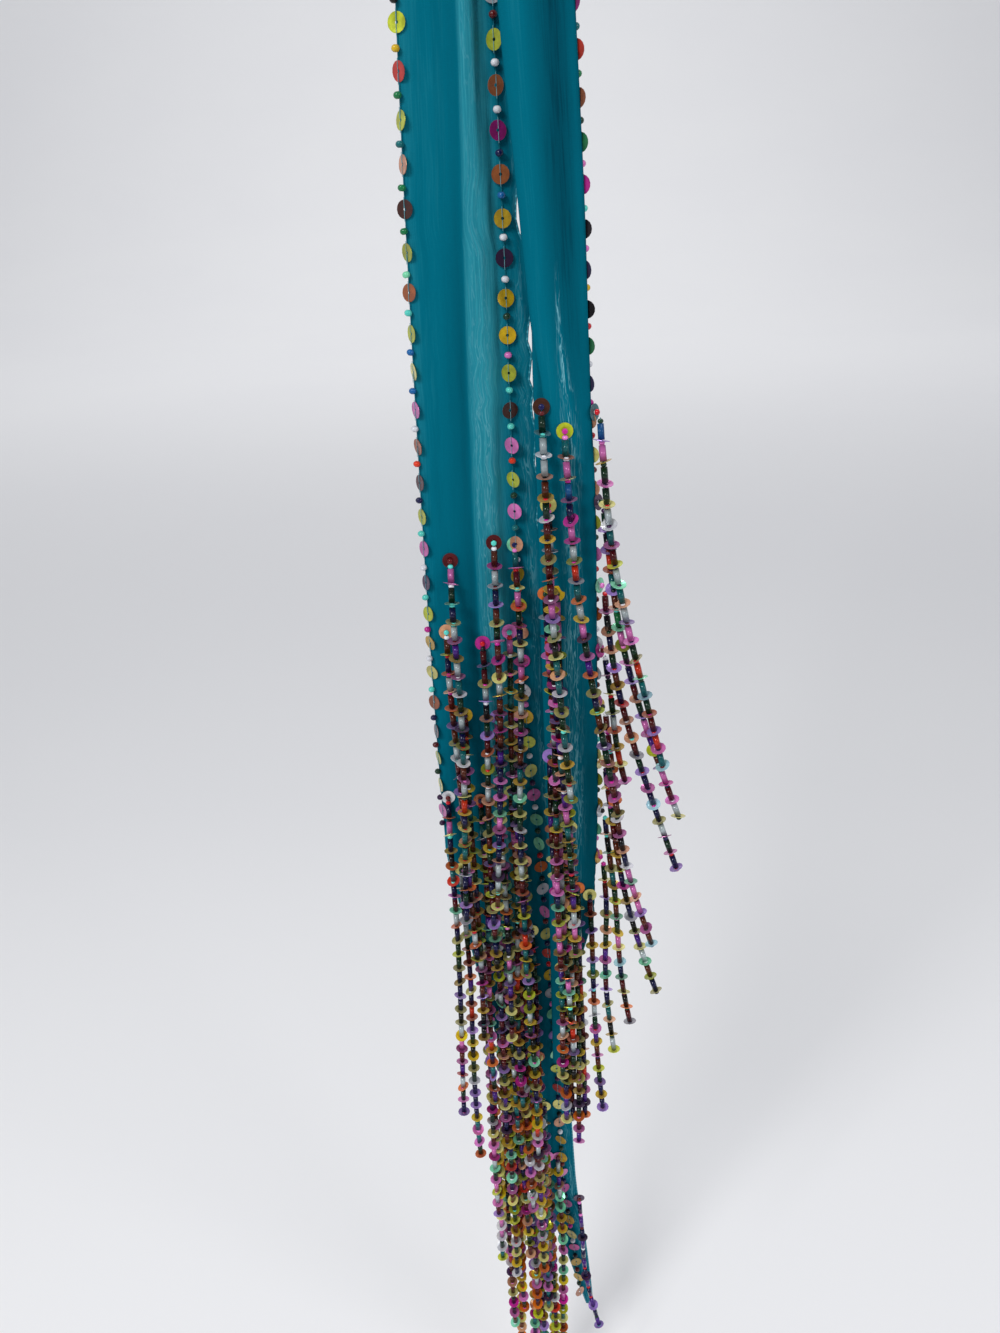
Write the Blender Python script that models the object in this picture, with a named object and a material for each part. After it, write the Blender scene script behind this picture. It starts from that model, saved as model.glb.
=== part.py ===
"""A skinny chiffon scarf held at its middle, its two tails hanging one before the other.

Metres, +Z up, the tails' faces towards -Y. The origin is the underside of the fold at
the point where the scarf is held. Tables are in millimetres: `down` is the depth below
the origin, the other columns are places along X unless their comment says otherwise.
"""

import math
from collections import namedtuple

import bmesh
import bpy
import numpy as np
from mathutils import Vector

MM = 0.001

# Driving sizes, in millimetres
WALL = 1.0
GAP = 0.3
MARGIN = 5.5
HOLD_RADIUS = 10.0
HOLD_DOWN = 24.0
HOLD_HALF = 13.5
GATHERS = 3.0
GATHER_DEEP = 1.6
SECTION_STEP = 17.0
LONG_CORNER = 541.0
LONG_TIP = 887.0
SHORT_CORNER = 592.0
SHORT_TIP = 700.0
LONG_KEPT = 0.06
SHORT_KEPT = 0.34
LAYER = 1.7
STRAND = 2.2
STRAND_STEP = 19.0
STRAND_CLEAR = 2.9
STRAND_LEAN = 0.095
STRAND_EASE = 16.0
BAR_HIGH = 2.4
BAR_THICK = 1.0
BAR_OFF = 0.8
BAR_STEP = 3.0
FACE_NEAR = 1.7

# left and hem are the outlines, trim the line of the right-hand edging, ridge_l and
# ridge_r the sides of the raised pleat; ridge is its height, back the sheet's place along
# Y. The left margin is turned back behind the outline, all the way down.
LongRow = namedtuple("LongRow", "down left ridge_l ridge_r ridge trim hem back")
LONG = [
    LongRow(24, -14.0, -5.5, 1.0, 2.6, 9.0, 14.0, 14.0),
    LongRow(80, -15.5, -6.0, 0.2, 3.2, 7.5, 12.8, 11.0),
    LongRow(150, -19.5, -7.5, -1.0, 3.8, 4.5, 10.2, 7.0),
    LongRow(220, -23.3, -8.5, -2.6, 4.2, 2.5, 8.2, 4.5),
    LongRow(293, -26.6, -9.5, -3.5, 4.2, 1.3, 6.9, 2.5),
    LongRow(360, -28.7, -11.2, -2.4, 4.0, 2.0, 7.7, 1.5),
    LongRow(446, -30.4, -12.0, -2.9, 3.4, 2.4, 8.9, 1.0),
    LongRow(533, -31.2, -12.3, -3.0, 2.4, 4.4, 10.6, 0.5),
    LongRow(580, -31.0, -11.5, -1.5, 2.0, 7.3, 13.2, 0.0),
    LongRow(640, -31.0, -10.0, 0.5, 1.8, 10.0, 16.0, 0.0),
    LongRow(710, -30.0, -8.5, 3.0, 1.6, 12.6, 17.4, 0.0),
    LongRow(789, -28.5, -5.0, 8.0, 1.4, 15.0, 20.0, 0.0),
    LongRow(843, -25.0, 0.5, 13.5, 1.2, 20.0, 25.3, 0.0),
    LongRow(887, -21.0, 4.0, 17.0, 1.0, 23.4, 28.6, 0.0),
]

# The short tail is pleated like a Z: an under layer from under_l to under_r, then back to
# fold, then the front layer to right. front is the front layer's place along Y. Both
# margins are turned back behind their outlines.
ShortRow = namedtuple("ShortRow", "down under_l under_r fold right front")
SHORT = [
    ShortRow(24, -13.0, 3.4, -6.5, 13.5, -16.0),
    ShortRow(80, -11.0, 4.8, -5.6, 14.8, -14.5),
    ShortRow(150, -5.5, 8.0, -4.0, 17.6, -12.6),
    ShortRow(220, 1.5, 11.5, -1.5, 20.8, -11.7),
    ShortRow(295, 7.0, 14.8, 2.2, 23.9, -11.5),
    ShortRow(350, 8.8, 17.4, 6.4, 26.4, -11.5),
    ShortRow(382, 9.3, 19.0, 9.2, 27.4, -11.5),
    ShortRow(403, 9.4, 20.3, 12.4, 28.0, -11.5),
    ShortRow(437, 9.8, 21.8, 14.0, 29.5, -11.5),
    ShortRow(490, 9.9, 22.6, 14.3, 30.2, -11.5),
    ShortRow(556, 10.3, 22.8, 14.5, 30.6, -11.5),
    ShortRow(602, 10.5, 22.0, 14.5, 29.4, -11.5),
    ShortRow(650, 10.5, 21.0, 14.5, 28.6, -11.5),
    ShortRow(700, 10.5, 20.4, 14.5, 28.0, -11.5),
]

# One row for each backing: where it lies, its strands' length, and for each strand its
# place across and how far it swings to the right on its way down.
FringeRow = namedtuple("FringeRow", "name down length across swing")
LONG_FRINGE = [
    FringeRow("fringe_long_1", 452, 148, (-21.2, -5.4, 1.9), (-1.0, -4.5, -1.5)),
    FringeRow("fringe_long_2", 487, 146, (-24.3, -11.2, -1.2), (5.0, -1.0, 0.0)),
    FringeRow("fringe_long_3", 522, 148, (-19.3, -7.2, 0.2), (0.0, -0.5, 0.2)),
    FringeRow("fringe_long_4", 557, 156, (-28.2, -15.4, -3.2), (-1.6, 0.0, 0.0)),
    FringeRow("fringe_long_5", 592, 150, (-25.0, -12.0, -7.0, 1.4), (1.6, 0.6, 0.5, 0.3)),
    FringeRow("fringe_long_6", 627, 152, (-17.6, -10.2, -2.0, 3.4), (0.4, 0.4, 0.4, 0.0)),
    FringeRow("fringe_long_7", 662, 160, (-18.2, -11.6, -4.4, 2.2), (2.0, 0.5, 0.5, 0.5)),
    FringeRow("fringe_long_8", 697, 164, (-13.0, -8.0, -1.6, 4.4), (0.4, 0.5, 0.5, 0.5)),
    FringeRow("fringe_long_9", 732, 160, (-7.4, -2.8, 2.0, 6.6), (-1.6, 0.5, 0.5, 0.8)),
    FringeRow("fringe_long_10", 768, 130, (2.4, 7.4, 12.2), (-0.8, 0.6, 1.0)),
    FringeRow("fringe_long_11", 800, 84, (22.4,), (8.4,)),
]
SHORT_FRINGE = [
    FringeRow("fringe_short_1", 404, 146, (11.8, 19.2), (6.6, 17.0)),
    FringeRow("fringe_short_2", 437, 148, (13.4,), (4.6,)),
    FringeRow("fringe_short_3", 470, 150, (11.8, 15.8), (3.0, 4.0)),
    FringeRow("fringe_short_4", 503, 148, (14.4,), (3.0,)),
    FringeRow("fringe_short_5", 535, 150, (12.0, 16.2), (2.0, 3.0)),
    FringeRow("fringe_short_6", 567, 150, (14.6, 19.4), (1.2, 1.6)),
    FringeRow("fringe_short_7", 598, 112, (16.8, 22.2, 27.0), (1.0, 1.0, 4.4)),
]

# The strands of the short tail's right edge, on two strips: depth of the root, length and
# swing. Each strip runs from its first number to its last.
EdgeRow = namedtuple("EdgeRow", "down length swing")
EDGE_UPPER = [
    EdgeRow(408, 121, 22.0),
    EdgeRow(438, 117, 28.5),
    EdgeRow(468, 114, 29.5),
]
EDGE_LOWER = [
    EdgeRow(493, 52, 10.0),
    EdgeRow(516, 100, 19.0),
    EdgeRow(540, 100, 21.5),
    EdgeRow(562, 94, 12.0),
    EdgeRow(584, 92, 5.0),
]
EDGE_UPPER_SPAN = (403.0, 474.0)
EDGE_LOWER_SPAN = (487.0, 590.0)

# colour, roughness
CLOTH = ((0.0, 0.140, 0.200), 0.62)
BEADS = ((0.42, 0.20, 0.24), 0.28)


def smooth(share):
    """A share from 0 to 1, eased at both ends."""
    share = min(max(share, 0.0), 1.0)
    return share * share * (3.0 - 2.0 * share)


def row_at(table, down):
    """The table's row at a depth, eased between its neighbours by a cubic."""
    depths = [row.down for row in table]
    down = min(max(down, depths[0]), depths[-1])
    after = min(max(np.searchsorted(depths, down, side="right"), 1), len(table) - 1)
    low, high = table[after - 1], table[after]
    span = high.down - low.down
    share = (down - low.down) / span
    values = [down]
    for column in range(1, len(low)):
        slopes = []
        for here in (after - 1, after):
            first, last = max(here - 1, 0), min(here + 1, len(table) - 1)
            rise = table[last][column] - table[first][column]
            slopes.append(rise / (depths[last] - depths[first]) * span)
        a, b = low[column], high[column]
        curve = (
            a
            + slopes[0] * share
            + (3 * (b - a) - 2 * slopes[0] - slopes[1]) * share**2
            + (2 * (a - b) + slopes[0] + slopes[1]) * share**3
        )
        values.append(min(max(curve, min(a, b)), max(a, b)))
    return type(low)(*values)


def mix(a, b, share):
    """A value between a and b."""
    return a + (b - a) * share


def long_section(down):
    """The long tail's middle line at a depth, from its left hem to its right one."""
    row = row_at(LONG, down)
    left, back = row.left, row.back
    return [
        (left + MARGIN, back + 3.4),
        (left + 1.4, back + 3.0),
        (left, back + 1.5),
        (left + 1.6, back),
        ((left + 1.6 + row.ridge_l) / 2, back - 0.3),
        (row.ridge_l - 1.6, back + 0.2),
        (row.ridge_l + 1.2, back - row.ridge * 0.9),
        ((row.ridge_l + row.ridge_r) / 2, back - row.ridge),
        (row.ridge_r - 1.2, back - row.ridge * 0.9),
        (row.ridge_r + 1.4, back + 0.2),
        (row.trim, back - 0.4),
        ((row.trim + row.hem) / 2, back - 0.2),
        (row.hem, back + 0.5 * math.sin(down / 13.0)),
    ]


def short_section(down):
    """The short tail's middle line at a depth, from its left hem to its right one."""
    row = row_at(SHORT, down)
    under, middle = row.front + 2 * LAYER, row.front + LAYER
    return [
        (row.under_l + MARGIN, under + 2.0),
        (row.under_l + 1.3, under + 1.8),
        (row.under_l, under + 0.9),
        (row.under_l + 1.3, under),
        (row.under_r - 1.2, under),
        (row.under_r, mix(under, middle, 0.5)),
        (row.under_r - 1.2, middle),
        (row.fold + 1.2, middle),
        (row.fold, mix(middle, row.front, 0.5)),
        (row.fold + 1.4, row.front),
        ((row.fold + row.right) / 2, row.front - 0.5),
        (row.right - 1.5, row.front - 0.1),
        (row.right, row.front + 0.8),
        (row.right - 1.3, row.front + 1.7),
        (row.right - MARGIN, row.front + 1.9),
    ]


def kept(points, first, last):
    """The stretch of a line from one share of its length to another, points kept in step."""
    line = np.array(points)
    steps = np.hypot(*np.diff(line, axis=0).T)
    shares = np.concatenate([[0.0], np.cumsum(steps)]) / steps.sum()
    even = np.linspace(0.0, 1.0, len(points))
    wanted = first + (last - first) * mix(even, shares, (last - first) ** 2)
    return list(zip(np.interp(wanted, shares, line[:, 0]), np.interp(wanted, shares, line[:, 1])))


def walled(points):
    """A closed ring round a section: its points moved out by half the wall, both ways."""
    line = np.array(points)
    steps = np.diff(line, axis=0)
    steps /= np.linalg.norm(steps, axis=1)[:, None]
    along = np.vstack([steps[:1], steps[:-1] + steps[1:], steps[-1:]])
    along /= np.linalg.norm(along, axis=1)[:, None]
    side = np.stack([-along[:, 1], along[:, 0]], axis=1) * WALL / 2
    return np.vstack([line + side, (line - side)[::-1]])


def add_object(name, bm, look):
    """A mesh object of its own, with a material of its own."""
    bmesh.ops.recalc_face_normals(bm, faces=bm.faces)
    mesh = bpy.data.meshes.new(name)
    bm.to_mesh(mesh)
    bm.free()
    material = bpy.data.materials.new(name)
    material.use_nodes = True
    shader = material.node_tree.nodes["Principled BSDF"]
    colour, roughness = look
    shader.inputs["Base Color"].default_value = (*colour, 1.0)
    shader.inputs["Roughness"].default_value = roughness
    shader.inputs["Metallic"].default_value = 0.0
    mesh.materials.append(material)
    made = bpy.data.objects.new(name, mesh)
    bpy.context.scene.collection.objects.link(made)
    return made


def lofted(name, rings, look):
    """One closed wall through rings of points, all of the same count."""
    bm = bmesh.new()
    loops = [[bm.verts.new(Vector(point) * MM) for point in ring] for ring in rings]
    count = len(loops[0])
    for above, below in zip(loops, loops[1:]):
        for here in range(count):
            after = (here + 1) % count
            bm.faces.new((above[here], above[after], below[after], below[here]))
    half = count // 2
    for ring in (loops[0], loops[-1]):
        for here in range(half - 1):
            corners = (ring[here], ring[here + 1], ring[count - 2 - here], ring[count - 1 - here])
            bm.faces.new(corners)
    return add_object(name, bm, look)


def depths(first, last, step):
    """Depths from first to last, evenly, no further apart than a step."""
    return np.linspace(first, last, int(math.ceil((last - first) / step)) + 1)


def long_line(down):
    """The long tail's line at a depth, cut off on its slant below the left corner."""
    gone = (down - LONG_CORNER) / (LONG_TIP - LONG_CORNER)
    return kept(long_section(down), min(max(gone, 0.0), 1.0) * (1 - LONG_KEPT), 1.0)


def short_line(down):
    """The short tail's line at a depth, cut off on its slant below the right corner."""
    gone = (down - SHORT_CORNER) / (SHORT_TIP - SHORT_CORNER)
    return kept(short_section(down), 0.0, 1.0 - min(max(gone, 0.0), 1.0) * (1 - SHORT_KEPT))


def tail(name, line, corner, tip):
    """A hanging tail: even sections down to its corner, closer ones along its slant."""
    places = list(depths(HOLD_DOWN + GAP, corner, SECTION_STEP))
    places += list(depths(corner, tip, SECTION_STEP))[1:]
    rings = [[(x, y, -down) for x, y in walled(line(down))] for down in places]
    return lofted(name, rings, CLOTH)


def middle_over_hand():
    """The gathered stretch that goes over the hand, from the back tail to the front one."""
    shares = np.linspace(-1.0, 1.0, 19)
    out = 2.1 + GATHER_DEEP * np.cos(math.pi * GATHERS * shares)
    straight = HOLD_DOWN - HOLD_RADIUS
    bend = math.pi * HOLD_RADIUS
    total = 2 * straight + bend
    rings = []
    for travelled in depths(0.0, total, 4.5):
        ring = []
        for across, raised in walled(list(zip(shares * HOLD_HALF, out))):
            if travelled < straight:
                point = (across, HOLD_RADIUS + raised, travelled - HOLD_DOWN)
            elif travelled > total - straight:
                point = (across, -HOLD_RADIUS - raised, total - travelled - HOLD_DOWN)
            else:
                turn = (travelled - straight) / HOLD_RADIUS
                reach = HOLD_RADIUS + raised
                point = (across, reach * math.cos(turn), reach * math.sin(turn) - HOLD_RADIUS)
            ring.append(point)
        rings.append(ring)
    return lofted("middle_over_hand", rings, CLOTH)


def face_at(line, down, across):
    """The front of the cloth at a depth, along Y, at a place across it."""
    points = line(down)
    found = []
    for (x0, y0), (x1, y1) in zip(points, points[1:]):
        low, high = min(x0, x1), max(x0, x1)
        if low - FACE_NEAR <= across <= high + FACE_NEAR and high > low:
            for place in (across - FACE_NEAR, across, across + FACE_NEAR):
                share = min(max((place - x0) / (x1 - x0), 0.0), 1.0)
                found.append(mix(y0, y1, share))
    near = min(points, key=lambda point: abs(point[0] - across))
    return min(found or [near[1]]) - WALL / 2


def front_at(section, down):
    """The front of the whole section at a depth, along Y."""
    return min(y for _, y in section(down)) - WALL / 2


def grown(bm, face, path):
    """Extrude a strand of four sides from a face of its backing, along a path."""
    across = Vector((0.0, 1.0, 0.0))
    tangent = face.normal.copy()
    centre = face.calc_center_median()
    for place, point in enumerate(path):
        old_side = tangent.cross(across).normalized()
        old_centre = centre
        following = path[min(place + 1, len(path) - 1)]
        before = path[place - 1] if place else centre
        tangent = (following - before).normalized()
        side = tangent.cross(across).normalized()
        over = side.cross(tangent).normalized()
        face = bmesh.ops.extrude_discrete_faces(bm, faces=[face])["faces"][0]
        half = STRAND * MM / 2
        for sign in (-1.0, 1.0):
            pair = [vert for vert in face.verts if (vert.co - old_centre).dot(old_side) * sign > 0]
            pair.sort(key=lambda vert: vert.co.y)
            pair[0].co = point + side * sign * half - over * half
            pair[1].co = point + side * sign * half + over * half
        centre = point


def strand_path(section, start, length, swing):
    """Centres down a strand, which hangs ever further forward, over the rows below it."""
    count = int(math.ceil(length / STRAND_STEP))
    x0, y0, down0 = start
    path = []
    for place in range(1, count + 1):
        share = place / count
        down = down0 + length * share
        hang = front_at(section, down) - STRAND_CLEAR - STRAND_LEAN * length * share
        y = mix(y0, hang, smooth(length * share / STRAND_EASE))
        path.append(Vector((x0 + swing * share**1.5, y, -down)) * MM)
    return path


def fringe_row(row, line, section):
    """A row of strands on a narrow strip that lies just off the cloth's face."""
    half = STRAND / 2
    stations = []
    for across in row.across:
        stations += [across - half, across + half]
    for left, right in zip(stations[1::2], stations[2::2]):
        stations += list(depths(left, right, BAR_STEP))[1:-1]
    stations.sort()
    bm = bmesh.new()
    rings = []
    for across in stations:
        face = min(face_at(line, row.down + drop, across) for drop in (0.0, BAR_HIGH)) - BAR_OFF
        corners = ((face, 0.0), (face - BAR_THICK, 0.0), (face - BAR_THICK, BAR_HIGH), (face, BAR_HIGH))
        rings.append([bm.verts.new(Vector((across, y, -row.down - drop)) * MM) for y, drop in corners])
    roots = {}
    for place, (one, other) in enumerate(zip(rings, rings[1:])):
        for here in range(4):
            after = (here + 1) % 4
            made = bm.faces.new((one[here], one[after], other[after], other[here]))
            if here == 2:
                roots[place] = made
    bm.faces.new(rings[0][::-1])
    bm.faces.new(rings[-1])
    bmesh.ops.recalc_face_normals(bm, faces=bm.faces)
    for across, swing in zip(row.across, row.swing):
        root = roots[min(roots, key=lambda place: abs((stations[place] + stations[place + 1]) / 2 - across))]
        centre = root.calc_center_median() / MM
        vary = 1.0 + 0.035 * math.sin(across * 2.3 + row.down)
        start = (across, centre.y, row.down + BAR_HIGH)
        path = strand_path(section, start, row.length * vary, swing)
        grown(bm, root, path)
    return add_object(row.name, bm, BEADS)


def fringe_edge(name, rows, span):
    """Strands that swing out from the short tail's right edge, on one upright strip."""
    half = STRAND / 2
    stations = []
    for row in rows:
        stations += [row.down - half, row.down + half]
    for above, below in zip(stations[1::2], stations[2::2]):
        stations += list(depths(above, below, 16.0))[1:-1]
    stations = sorted(stations + list(span))
    bm = bmesh.new()
    rings = []
    for down in stations:
        points = short_line(down)
        right = max(x for x, _ in points) + WALL / 2 + BAR_OFF
        front = max(points, key=lambda point: point[0])[1]
        corners = ((0.0, -0.6), (BAR_THICK, -0.6), (BAR_THICK, 0.6), (0.0, 0.6))
        rings.append([bm.verts.new(Vector((right + x, front + y, -down)) * MM) for x, y in corners])
    roots = {}
    for place, (one, other) in enumerate(zip(rings, rings[1:])):
        for here in range(4):
            after = (here + 1) % 4
            made = bm.faces.new((one[here], one[after], other[after], other[here]))
            if here == 1:
                roots[place] = made
    bm.faces.new(rings[0][::-1])
    bm.faces.new(rings[-1])
    bmesh.ops.recalc_face_normals(bm, faces=bm.faces)
    for row in rows:
        root = roots[min(roots, key=lambda place: abs((stations[place] + stations[place + 1]) / 2 - row.down))]
        centre = root.calc_center_median() / MM
        path = [Vector((centre.x + 2.4, centre.y - 0.8, centre.z - 2.6)) * MM]
        start = (centre.x + 2.6, centre.y - 1.0, row.down + 4.0)
        path += strand_path(short_section, start, row.length, row.swing - 2.6)
        grown(bm, root, path)
    return add_object(name, bm, BEADS)


def main():
    """Clear the scene and build every piece."""
    for old in list(bpy.data.objects):
        bpy.data.objects.remove(old)
    tail("tail_long", long_line, LONG_CORNER, LONG_TIP)
    tail("tail_short", short_line, SHORT_CORNER, SHORT_TIP)
    middle_over_hand()
    for row in LONG_FRINGE:
        fringe_row(row, long_line, long_section)
    for row in SHORT_FRINGE:
        fringe_row(row, short_line, short_section)
    fringe_edge("fringe_short_edge_upper", EDGE_UPPER, EDGE_UPPER_SPAN)
    fringe_edge("fringe_short_edge_lower", EDGE_LOWER, EDGE_LOWER_SPAN)


main()
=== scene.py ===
"""A teal chiffon skinny scarf, held at its middle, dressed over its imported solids.

The cloth is a thin shell for each stretch that shows, with sequins and seed beads sewn
along its long edges, and strands of glass tubes, seed beads and sequins in rows down
both tails. Tables are in millimetres: `down` is the depth below the hold, and the other
columns are places along X unless their class says otherwise.
"""

from __future__ import annotations

import logging
import math
import random
from collections.abc import Iterable, Sequence
from dataclasses import dataclass, field
from enum import Enum
from functools import cache
from typing import TypeVar

import bmesh
import bpy
import numpy as np
from mathutils import Matrix, Vector, noise


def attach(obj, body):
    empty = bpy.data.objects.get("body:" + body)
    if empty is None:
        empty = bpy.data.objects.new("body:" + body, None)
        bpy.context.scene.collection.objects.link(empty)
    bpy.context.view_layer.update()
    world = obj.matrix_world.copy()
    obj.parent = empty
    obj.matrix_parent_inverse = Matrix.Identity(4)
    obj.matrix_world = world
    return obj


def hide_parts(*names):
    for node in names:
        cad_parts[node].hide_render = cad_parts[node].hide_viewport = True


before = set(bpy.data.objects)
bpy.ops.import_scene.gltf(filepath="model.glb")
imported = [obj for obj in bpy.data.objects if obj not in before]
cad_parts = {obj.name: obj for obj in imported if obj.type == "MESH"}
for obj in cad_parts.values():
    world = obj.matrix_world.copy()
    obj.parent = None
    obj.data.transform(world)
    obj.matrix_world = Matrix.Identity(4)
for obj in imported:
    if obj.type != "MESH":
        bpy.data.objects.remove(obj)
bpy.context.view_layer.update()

log = logging.getLogger("scarf")
MM = 0.001
BODY = "root"
FULL_TURN = 6.28
Point2 = tuple[float, float]
Colour = tuple[float, float, float, float]
Numbers = float | np.ndarray
Socket = bpy.types.NodeSocket
Row = TypeVar("Row")


# Small helpers


def eased(share: float) -> float:
    """A share from 0 to 1, eased at both ends."""
    share = min(max(share, 0.0), 1.0)
    return share * share * (3.0 - 2.0 * share)


def mix(a: Numbers, b: Numbers, share: float) -> Numbers:
    """A value between a and b."""
    return a + (b - a) * share


def bell(x: Numbers, centre: float, half: float, power: int = 2) -> Numbers:
    """A soft hump: 1 at its centre, and nearly nought twice its half width away."""
    return np.exp(-(((x - centre) / half) ** power))


def past(x: Numbers, edge: float, softness: float) -> Numbers:
    """A soft step up from 0 to 1 at an edge, or down where its softness is negative."""
    return 1 / (1 + np.exp(-(x - edge) / softness))


def linear(hex_colour: str) -> Colour:
    """A colour as the shader takes it.

    Args:
        hex_colour: six hexadecimal digits, as a paint chart gives them.

    Returns:
        Red, green, blue and full alpha, linear.
    """
    parts = [int(hex_colour[k : k + 2], 16) / 255 for k in (0, 2, 4)]
    r, g, b = (p / 12.92 if p <= 0.04045 else ((p + 0.055) / 1.055) ** 2.4 for p in parts)
    return (r, g, b, 1.0)


def row_at(table: Sequence[Row], down: float) -> Row:
    """The table's row at a depth, eased between its neighbours by a cubic.

    Args:
        table: dataclass rows whose first field is `down`, in order.
        down: the depth wanted, in millimetres.

    Returns:
        A row of the same kind with every column worked out at that depth.
    """
    kind = type(table[0])
    names = list(kind.__dataclass_fields__)
    places = [row.down for row in table]
    down = min(max(down, places[0]), places[-1])
    after = min(max(int(np.searchsorted(places, down, side="right")), 1), len(table) - 1)
    low, high = table[after - 1], table[after]
    span = high.down - low.down
    share = (down - low.down) / span
    values = [down]
    for name in names[1:]:
        slopes = []
        for here in (after - 1, after):
            first, last = max(here - 1, 0), min(here + 1, len(table) - 1)
            rise = getattr(table[last], name) - getattr(table[first], name)
            slopes.append(rise / (places[last] - places[first]) * span)
        a, b = getattr(low, name), getattr(high, name)
        curve = (
            a
            + slopes[0] * share
            + (3 * (b - a) - 2 * slopes[0] - slopes[1]) * share**2
            + (2 * (a - b) + slopes[0] + slopes[1]) * share**3
        )
        values.append(min(max(curve, min(a, b)), max(a, b)))
    return kind(*values)


def rounded(points: Sequence[Point2], times: int = 3) -> np.ndarray:
    """A line with its corners cut again and again, which leaves a soft curve.

    Args:
        points: the line's corners.
        times: how many times every corner is cut.

    Returns:
        The curve's points, with the same two ends.
    """
    line = np.array(points, dtype=float)
    for _ in range(times):
        near = 0.75 * line[:-1] + 0.25 * line[1:]
        far = 0.25 * line[:-1] + 0.75 * line[1:]
        cut = np.empty((2 * len(near), 2))
        cut[0::2], cut[1::2] = near, far
        line = np.vstack([line[:1], cut, line[-1:]])
    return line


def along(line: np.ndarray, shares: np.ndarray) -> tuple[np.ndarray, np.ndarray]:
    """Points and right-hand normals at shares of a line's length.

    Args:
        line: the line's points.
        shares: the places wanted, each from 0 to 1.

    Returns:
        The points and the normals there, one row each.
    """
    steps = np.hypot(*np.diff(line, axis=0).T)
    reach = np.concatenate([[0.0], np.cumsum(steps)])
    wanted = shares * reach[-1]
    points = np.stack([np.interp(wanted, reach, line[:, k]) for k in (0, 1)], axis=1)
    ways = np.gradient(line, axis=0)
    ways /= np.maximum(np.linalg.norm(ways, axis=1)[:, None], 1e-9)
    way = np.stack([np.interp(wanted, reach, ways[:, k]) for k in (0, 1)], axis=1)
    way /= np.maximum(np.linalg.norm(way, axis=1)[:, None], 1e-9)
    return points, np.stack([way[:, 1], -way[:, 0]], axis=1)


# Finishes


@dataclass
class Shader:
    """A node tree, with short ways to add and join nodes."""

    tree: bpy.types.NodeTree

    def add(self, kind: str, **settings: object) -> bpy.types.Node:
        """A node of a kind, with its properties set.

        Args:
            kind: the node's type.
            settings: its properties, by name.

        Returns:
            The node.
        """
        node = self.tree.nodes.new(kind)
        for name, value in settings.items():
            setattr(node, name, value)
        return node

    def join(self, start: Socket, end: Socket) -> None:
        """A link from one socket to another."""
        self.tree.links.new(start, end)

    def feed(self, value: float | Sequence[float] | Socket, socket: Socket) -> None:
        """Join a socket to another, or set it.

        Args:
            value: another socket, or a number, colour or vector.
            socket: the socket that takes it.
        """
        if isinstance(value, Socket):
            self.join(value, socket)
        else:
            socket.default_value = value

    def maths(self, operation: str, *values: float | Socket) -> Socket:
        """A Math node over numbers or sockets.

        Args:
            operation: the node's operation.
            values: what goes into it, in order.

        Returns:
            Its output.
        """
        node = self.add("ShaderNodeMath", operation=operation)
        for place, value in enumerate(values):
            self.feed(value, node.inputs[place])
        return node.outputs[0]

    def blended(
        self,
        share: float | Socket,
        first: Colour | Socket,
        second: Colour | Socket,
        mode: str = "MIX",
    ) -> Socket:
        """A colour mixed from two, by a share.

        Args:
            share: a number or socket, from 0 to 1.
            first: a colour or socket.
            second: a colour or socket.
            mode: the way they are mixed.

        Returns:
            The mixed colour's socket.
        """
        node = self.add("ShaderNodeMix", data_type="RGBA", blend_type=mode)
        for value, place in ((share, 0), (first, 6), (second, 7)):
            self.feed(value, node.inputs[place])
        return node.outputs[2]

    def ramped(self, value: Socket, low: float, high: float) -> Socket:
        """A value spread from 0 to 1 between two limits.

        Args:
            value: the value's socket.
            low: what becomes 0.
            high: what becomes 1.

        Returns:
            The spread value's socket.
        """
        node = self.add("ShaderNodeMapRange", interpolation_type="SMOOTHSTEP")
        for place, given in enumerate((value, low, high)):
            self.feed(given, node.inputs[place])
        return node.outputs[0]

    def stretched(self, place: Socket, scale: Sequence[float]) -> Socket:
        """Places scaled along each axis.

        Args:
            place: the places' socket.
            scale: how much, along X, Y and Z.

        Returns:
            The scaled places' socket.
        """
        node = self.add("ShaderNodeMapping")
        self.join(place, node.inputs["Vector"])
        node.inputs["Scale"].default_value = scale
        return node.outputs[0]

    def cloudy(
        self, place: Socket, scale: float = 1.0, detail: float = 2.0, distortion: float = 0.0
    ) -> Socket:
        """A soft random value, from 0 to 1, that changes from place to place.

        Args:
            place: the places' socket.
            scale: how fine it is.
            detail: how many finer layers it has.
            distortion: how far it is warped.

        Returns:
            The value's socket.
        """
        node = self.add("ShaderNodeTexNoise")
        self.join(place, node.inputs["Vector"])
        for name, value in (("Scale", scale), ("Detail", detail), ("Distortion", distortion)):
            node.inputs[name].default_value = value
        return node.outputs["Fac"]

    def attribute(self, name: str, output: str = "Fac") -> Socket:
        """One of the piece's own attributes."""
        return self.add("ShaderNodeAttribute", attribute_name=name).outputs[output]

    def group(self, tree: bpy.types.NodeTree, **given: float | Socket) -> bpy.types.Node:
        """A shared node group, placed here.

        Args:
            tree: the group.
            given: what goes into its inputs, by name.

        Returns:
            Its node.
        """
        node = self.add("ShaderNodeGroup", node_tree=tree)
        for name, value in given.items():
            self.feed(value, node.inputs[name])
        return node

    def bumped(
        self, height: Socket, main: bpy.types.Node, strength: float, distance: float
    ) -> None:
        """Raise a shader's surface by a height.

        Args:
            height: the height's socket.
            main: the shader's node.
            strength: how strongly it shows.
            distance: how far a height of 1 stands up, in metres.
        """
        node = self.add("ShaderNodeBump")
        node.inputs["Strength"].default_value = strength
        node.inputs["Distance"].default_value = distance
        self.join(height, node.inputs["Height"])
        self.join(node.outputs[0], main.inputs["Normal"])


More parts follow.
